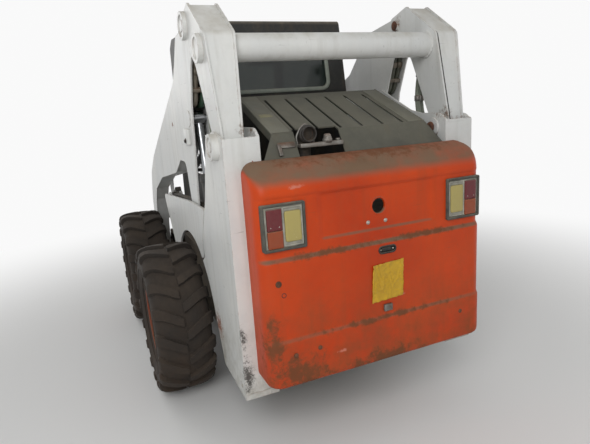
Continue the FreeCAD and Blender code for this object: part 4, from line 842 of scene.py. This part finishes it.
def exhaust_trim():
    mouth = at(-1.450, 0.242, 1.429)
    lip = Bits()
    for profile in (
            [(0.030, 0.0325), (0.030, 0.0362), (0.026, 0.0378), (0.018, 0.0378), (0.014, 0.0362), (0.014, 0.0325)],
            [(-0.0005, 0.0287), (-0.0015, 0.0302), (-0.0015, 0.0325), (0.0005, 0.0337), (0.006, 0.0337),
             (0.006, 0.0325)]):
        lip.turned(mouth, X, profile, 32, False)
    lip.make("exhaust_lip_and_band", "machine", "exhaust_iron", finish="exhaust_lip")
    bar = Bits()
    bar.plate(Face(at(-1.434, 0.182, 1.383), -Y, X), (0, 0, 0.101, 0.014, 0.004),
              [(0.0015, -0.010), (0, -0.008), (0, 0.006), (0.0015, 0.008)])
    bar.bolt(at(-1.434, 0.102, 1.389), Z, 0.0095, 0.010)
    bar.turned(at(-1.434, 0.152, 1.389), Z, [(-0.002, 0.021), (0.012, 0.021), (0.018, 0.016), (0.030, 0.0155),
                                             (0.034, 0.011)], 18)
    bar.turned(at(-1.4485, 0.152, 1.4035), -X, [(-0.004, 0.014), (0.0, 0.014), (0.003, 0.009)], 16)
    loop = ((0.205, 1.385), (0.2035, 1.425), (0.242, 1.4685), (0.2805, 1.425), (0.279, 1.385))
    bar.pipe([at(-1.405, y, z) for y, z in loop], 0.0042, 10, 6)
    for y in (0.205, 0.279):
        bar.turned(at(-1.405, y, 1.376), Z, [(0, 0.0082), (0.006, 0.0082)], 6)
    bar.plate(Face(at(-1.405, 0.242, 1.3845), -Y, X), (0, 0, 0.046, 0.011, 0.003), [(0, -0.003), (0, 0.003)])
    bar.make("exhaust_clamp", "machine", "exhaust_iron", finish="bare_steel")
    tab = Bits()
    steep = Face(at(-1.4195, 0, 1.388), -Y, Vector((0.055, 0, 0.098)))
    tab.plate(steep, (-0.338, 0.0, 0.040, 0.013, 0.004), [(0, -0.001), (0, 0.006), (0.0015, 0.0075)])
    tab.plate(steep, (-0.372, -0.022, 0.008, 0.026, 0.003), [(0, -0.001), (0, 0.009), (0.0015, 0.0105)])
    tab.make("hood_notch_bracket", "hood", "hood_paint", finish="bare_steel")


def welds():
    bead = Bits()
    centre = at(-1.265, 0, 1.797)
    for side in SIDES:
        ring = [centre + Y * side * 0.4915 + Vector((math.cos(t), 0, math.sin(t))) * 0.0595
                for t in (math.tau * k / 24 for k in range(25))]
        bead.pipe(ring, 0.0042, 8, 4, 0.14)
    bead.make("cross_tube_welds", "rear_links", "white_paint")
    seam_and_shade_lines = Bits()
    for side in SIDES:
        line = enumerate((0.475, 0.51, 0.55, 0.59, 0.612))
        seam_and_shade_lines.pipe([at(-1.4535, side * y, 0.33 + 0.004 * (i % 2)) for i, y in line], 0.003, 8, 6, 0.2)
    seam_and_shade_lines.make("upright_foot_welds", "machine", "white_paint")


def filleted(corners, steps=5):
    # (x, z) points of a line whose inner corners, given as (x, z, radius), are rounded
    points = [corners[0][:2]]
    for before, (x, z, radius), after in zip(corners, corners[1:], corners[2:]):
        here = Vector((x, z))
        back = (Vector(before[:2]) - here).normalized()
        on = (Vector(after[:2]) - here).normalized()
        half = back.angle(on) / 2
        reach = radius / math.tan(half)
        middle = here + (back + on).normalized() * (radius / math.sin(half))
        start, end = here + back * reach - middle, here + on * reach - middle
        turn = start.angle_signed(end)
        for i in range(steps + 1):
            spin = -turn * i / steps
            points.append((middle.x + start.x * math.cos(spin) - start.y * math.sin(spin),
                           middle.y + start.x * math.sin(spin) + start.y * math.cos(spin)))
    return points + [corners[-1][:2]]


def link_seams():
    # painted shade: a dark line beside the left edge of each link's cover plate, standing in for the shade in the
    # step between plate and cover
    line = filleted([(-1.4065, 1.400), (-1.3985, 1.470, 0.02), (-1.3375, 1.843, 0.04), (-1.123, 1.989)])
    seam_and_shade_lines = Bits()
    for side, edge, taper, radius in ((LEFT, 0.6135, -0.021, 0.0018), (RIGHT, 0.5080, 0.029, 0.0032)):
        points = []
        for x, z in line:
            low = 1 - min(max((z - 1.345) / 0.515, 0), 1)
            points.append(at(x - 0.0003, side * (edge + taper * low), z))
        seam_and_shade_lines.pipe(points, radius, 6, 1)
    seam_and_shade_lines.make("rear_link_shade_lines", "rear_links", "black_steel", finish="painted_gap_shade")


def link_lines():
    # lines that pass from the uprights to the arms behind the cylinders
    lines, ends = Bits(), Bits()
    for side in SIDES:
        for y, shift, radius in ((0.541, 0.0, 0.0135), (0.572, 0.012, 0.0115)):
            route = [(-1.285, 1.452), (-1.215, 1.430), (-1.160, 1.455), (-1.142, 1.530), (-1.148, 1.610),
                     (-1.165, 1.690), (-1.170, 1.770), (-1.165, 1.838)]
            lines.pipe([at(x + shift, side * y, z) for x, z in route], radius, 14)
            sleeve = [(0, radius), (0.002, radius + 0.004), (0.028, radius + 0.004), (0.030, radius)]
            for x, z, lean in ((-1.143, 1.530, 0), (-1.156, 1.650, -0.2)):
                ends.turned(at(x + shift, side * y, z), Vector((lean, 0, 1)), sleeve, 16)
    lines.make("rear_link_lines", "rear_links", "cylinder_paint", finish="hose_sleeve")
    ends.make("rear_link_line_sleeves", "rear_links", "cylinder_paint", finish="bare_steel")


def hydraulic_lines():
    # steel lines clamped in the open rear of each lift arm
    route = [(-0.700, 1.872), (-0.800, 1.892), (-0.905, 1.893), (-0.948, 1.860), (-0.950, 1.800),
             (-0.935, 1.730), (-0.905, 1.655), (-0.872, 1.598), (-0.800, 1.583), (-0.640, 1.598), (-0.480, 1.600)]
    clamps = Bits()
    for word, side, thick_look, thin_look in (("left", LEFT, "green_line", "grey_line"),
                                              ("right", RIGHT, "olive_line", "olive_line")):
        thick, thin = Bits(), Bits()
        thick.pipe([at(x, side * 0.5365, z) for x, z in route], 0.0155, 14)
        thin.pipe([at(x + 0.004, side * 0.5735, z) for x, z in route], 0.0125, 12)
        for x, z, lean in ((-0.9505, 1.800, 0.0), (-0.905, 1.655, 0.42)):
            run = Vector((math.sin(lean), 0, -math.cos(lean)))
            face = Face(at(x, side * 0.5545, z), Y, run)
            clamps.plate(face, (0, 0, 0.036, 0.010, 0.003), [(0, -0.017), (0, 0.015), (0.002, 0.017)])
            clamps.bolt(face.put(0.002, 0, 0.017), face.out, 0.006, 0.006)
        for y, radius in ((0.5365, 0.0195), (0.5735, 0.0165)):
            nut = [(-0.016, radius * 0.8), (-0.014, radius), (0.012, radius), (0.014, radius * 0.8)]
            clamps.turned(at(-0.936, side * y, 1.733), Vector((0.30, 0, -0.95)), nut, 6)
        thick.make(f"arm_return_line_{word}", "lift_arms", "cylinder_paint", finish=thick_look)
        thin.make(f"arm_pressure_line_{word}", "lift_arms", "cylinder_paint", finish=thin_look)
    clamps.make("arm_line_clamps", "lift_arms", "cylinder_paint", finish="grey_line")
    keepers, bolts_and_shade_strips = Bits(), Bits()
    for side in SIDES:
        plate = Face(at(-0.768, side * 0.602, 1.430), X * -side, Z)
        keepers.plate(plate, (0, 0, 0.042, 0.041, 0.006), [(0, -0.001), (0, 0.016), (0.002, 0.018)])
        bolts_and_shade_strips.bolt(plate.put(0, -0.020, 0.0175), plate.out, 0.0095, 0.008)
        # painted shade: a thin dark strip along each keeper's forward edge
        bolts_and_shade_strips.plate(plate, (-side * 0.0475, 0.006, 0.0045, 0.024, 0.002), [(0, -0.001), (0, 0.003)])
    keepers.make("lift_pin_keepers", "lift_arms", "white_paint")
    bolts_and_shade_strips.make("lift_pin_keeper_bolts_and_shade_strips", "lift_arms", "black_steel")


def pin_ends():
    # rusty ends of the rear links' pins, on the faces turned to the hood
    heads, feet = Bits(), Bits()
    for side in SIDES:
        heads.turned(at(-1.035, side * 0.478, 1.92), Y * -side,
                     [(-0.001, 0.0235), (0.0025, 0.0235), (0.0045, 0.020)], 28)
        dome = [(-0.001, 0.0250), (0.0040, 0.0250), (0.0090, 0.0215), (0.0125, 0.0140), (0.0135, 0.004)]
        feet.turned(at(-1.360, side * 0.450, 1.405), Y * -side, dome, 28)
    heads.make("rear_link_pin_heads", "rear_links", "white_paint", finish="pin_rust")
    feet.make("link_foot_pin_heads", "machine", "white_paint", finish="pin_rust")


hood_trim()
exhaust_trim()
welds()
link_seams()
link_lines()
hydraulic_lines()
pin_ends()


# Cab: mesh screens, window seal, seat and levers


SCREEN_Y, SCREEN_PITCH, WIRE, WEAVE = 0.403, 0.038, 0.0016, 0.0011
SCREEN_LOW, SCREEN_HIGH = 1.1305, 1.9295


def side_screens():
    # woven wire inside each side window, with a flat border
    low, high, steps = SCREEN_LOW, SCREEN_HIGH, 30
    count, across = int((high - low) / SCREEN_PITCH), int(0.90 / SCREEN_PITCH)
    wires = Bits()

    def ends(z):
        # the window narrows towards the top
        share = (z - low) / (high - low)
        return -0.470 + 0.040 * share, 0.4295 - 0.070 * share

    def wire(side, places, first):
        # passes over and under in turn
        wires.pipe([at(x, side * (SCREEN_Y + WEAVE * (-1) ** (i + first)), z)
                    for i, (x, z) in enumerate(places)], WIRE, 5, 1)

    for side in SIDES:
        for k in range(1, count + 1):
            z = low + (high - low) * k / (count + 1)
            a, b = ends(z)
            wire(side, [(a + (b - a) * i / steps, z) for i in range(steps + 1)], k)
        for k in range(1, across):
            heights = [low + (high - low) * i / steps for i in range(steps + 1)]
            wire(side, [(ends(z)[0] + (ends(z)[1] - ends(z)[0]) * (k / across), z) for z in heights], k + 1)
        border = [(ends(z)[end], z) for end, z in ((0, low), (1, low), (1, high), (0, high))]
        for (x0, z0), (x1, z1) in zip(border, border[1:] + border[:1]):
            inward = Vector((z0 - z1, 0, x1 - x0)).normalized() * 0.018
            if (at(-0.02, 0, 1.53) - at(x0, 0, z0)).dot(inward) < 0:
                inward = -inward
            one, two = at(x0, side * 0.4, z0), at(x1, side * 0.4, z1)
            row = [one, two, two + inward, one + inward]
            wires.grid([row, [p + Y * side * 0.005 for p in row]])
    wires.make("cab_mesh_screens", "cab", "screen_steel", ["cab_side_screens"])


def window_seal():
    lean = Vector((0.062, 0, 0.399))
    wall = Face(at(-0.611, 0, 1.630), -Y, lean)
    stretch = lean.length / 0.399
    low, high = 0.010 * stretch, 0.320 * stretch
    seal = Bits()
    shape = (0, (low + high) / 2, 0.3115, (high - low) / 2 + 0.0115, 0.060)
    seal.rim(wall, shape, 0.024, -0.003, 0.007, 0.003, 8)
    seal.make("rear_window_seal", "cab", "grip_plastic", finish="window_rubber")


def cushion(name, face, half_u, half_v, thick, channels, replaces=()):
    # a closed pad: crowned, drawn in between its corners, with sewn channels across it
    steps = 36

    def spot(i, j, top):
        a, b = 2 * i / steps - 1, 2 * j / steps - 1
        u = half_u * a * (1 - 0.035 * (1 - b * b)) * (1 - 0.05 * abs(a * b) ** 3)
        v = half_v * b * (1 - 0.035 * (1 - a * a)) * (1 - 0.05 * abs(a * b) ** 3)
        crown = ((1 - abs(a) ** 7) * (1 - abs(b) ** 7)) ** 0.42 if max(abs(a), abs(b)) < 1 else 0
        if not top:
            return face.put(u, v, thick * (0.38 - 0.38 * crown))
        height = thick * (0.38 + 0.62 * crown) - 0.006 * (1 - (a * a + b * b) / 2) * crown
        for place in channels:
            height -= 0.012 * math.exp(-((v - place) / 0.007) ** 2) * (1 - eased(abs(a), 0.72, 0.8)) * crown
        for place in (-0.72, 0.72):
            height -= 0.010 * math.exp(-((a - place) * half_u / 0.006) ** 2) * crown
        height += 0.0025 * noise.noise(Vector((u * 14, v * 14, 3.0))) * crown
        return face.put(u, v, height)

    bits = Bits()
    for top in (True, False):
        bits.grid([[spot(i, j, top) for i in range(steps + 1)] for j in range(steps + 1)], False, False)
    item = bits.make(name, "cab", "seat_vinyl", replaces)
    path = ([(i, 0) for i in range(steps)] + [(steps, j) for j in range(steps)]
            + [(steps - i, steps) for i in range(steps)] + [(0, steps - j) for j in range(steps + 1)])
    piping = Bits().pipe([spot(i, j, False) for i, j in path], 0.0032, 8, 1)
    piping.make(f"{name}_piping", "cab", "seat_vinyl")


def seat():
    channels = (-0.10, 0.0, 0.10)
    cushion("seat_cushion", Face(at(-0.108, 0, 0.9315), X, Y), 0.215, 0.205, 0.098, channels, ["seat"])
    up = Vector((-0.085, 0, 0.42))
    cushion("seat_backrest", Face(at(-0.392, 0, 1.215), Y, up), 0.203, 0.213, 0.088, channels)


def levers():
    bits = Bits()
    for side in SIDES:
        foot = at(0.290, side * 0.220, 0.688)
        boot = [(0, 0.040)]
        for k in range(7):
            h, r = 0.02 + 0.032 * k, 0.039 - 0.0030 * k
            boot += [(h, r), (h + 0.016, r - 0.008)]
        bits.turned(foot, Z, boot + [(0.25, 0.016)], 24)
        bits.turned(foot, Z, [(0.24, 0.0105), (0.345, 0.0105)], 16)
        grip = [(0.333, 0.015), (0.338, 0.021), (0.352, 0.0195), (0.375, 0.0165), (0.40, 0.0178), (0.425, 0.0165),
                (0.447, 0.0175), (0.462, 0.0178), (0.472, 0.0120), (0.475, 0.004)]
        bits.turned(foot, Z, grip, 24)
        button = foot + Vector((-0.014, 0, 0.455))
        bits.turned(button, Vector((-1, 0, 0.3)), [(0, 0.006), (0.005, 0.006), (0.0065, 0.004)], 16)
    bits.make("control_lever_boots_and_grips", "cab", "grip_plastic", ["control_levers"])


side_screens()
window_seal()
seat()
levers()


# Studio: pale floor and backdrop, soft lamps

BACKDROP, FLOOR_REACH = 0.95, 30


def backdrop_ray(nodes):
    # 1 for what the camera, a reflection or glass shows
    rays = nodes.add("LightPath").outputs
    seen = nodes.maths("MAXIMUM", rays["Is Camera Ray"], rays["Is Glossy Ray"])
    return nodes.maths("MAXIMUM", seen, rays["Is Transmission Ray"])


def stage_plane():
    finish = bpy.data.materials.new("pale_floor")
    finish.use_nodes = True
    nodes, made = Nodes(finish.node_tree), finish.node_tree.nodes
    shader = made["Principled BSDF"]
    shader.inputs["Base Color"].default_value = (0.84, 0.84, 0.83, 1)
    shader.inputs["Roughness"].default_value = 0.8
    # far from the machine the floor fades into the backdrop
    far = nodes.ramp(nodes.vectors("LENGTH", nodes.place()), 1.7, 4.6, "SMOOTHSTEP")
    fade = nodes.times(far, backdrop_ray(nodes))
    glow = nodes.add("Emission", {"Color": (BACKDROP, BACKDROP, BACKDROP, 1)})
    mix = nodes.add("MixShader", (fade, shader.outputs[0], glow.outputs[0]))
    nodes.feed(made["Material Output"].inputs["Surface"], mix.outputs[0])
    mesh = bpy.data.meshes.new("floor")
    ends = (-FLOOR_REACH, FLOOR_REACH)
    mesh.from_pydata([(x, y, 0) for y in ends for x in ends], [], [(0, 1, 3, 2)])
    mesh.materials.append(finish)
    placed("floor", mesh)


def world_light():
    world = bpy.data.worlds.new("studio")
    bpy.context.scene.world = world
    world.use_nodes = True
    nodes, backdrop = Nodes(world.node_tree), world.node_tree.nodes["Background"]
    backdrop.inputs["Color"].default_value = (1, 1, 1, 1)
    strength = nodes.add("MapRange", {"Value": backdrop_ray(nodes), "To Min": 0.38, "To Max": BACKDROP})
    nodes.feed(backdrop.inputs["Strength"], strength.outputs[0])


def lamp(name, place, target, size, power):
    data = bpy.data.lights.new(name, "AREA")
    data.size, data.energy = size, power
    item = placed(name, data)
    item.location = place
    item.rotation_euler = (target - place).to_track_quat("-Z", "Y").to_euler()


stage_plane()
world_light()
lamp("key", at(-4.3, 2.1, 3.0), at(-0.8, 0.2, 0.9), 2.2, 84)
lamp("fill", at(-2.0, -5.0, 3.4), at(-0.3, 0, 0.8), 3.0, 40)
lamp("front_fill", at(4.2, 2.5, 3.0), at(0.2, 0, 0.8), 3.0, 50)
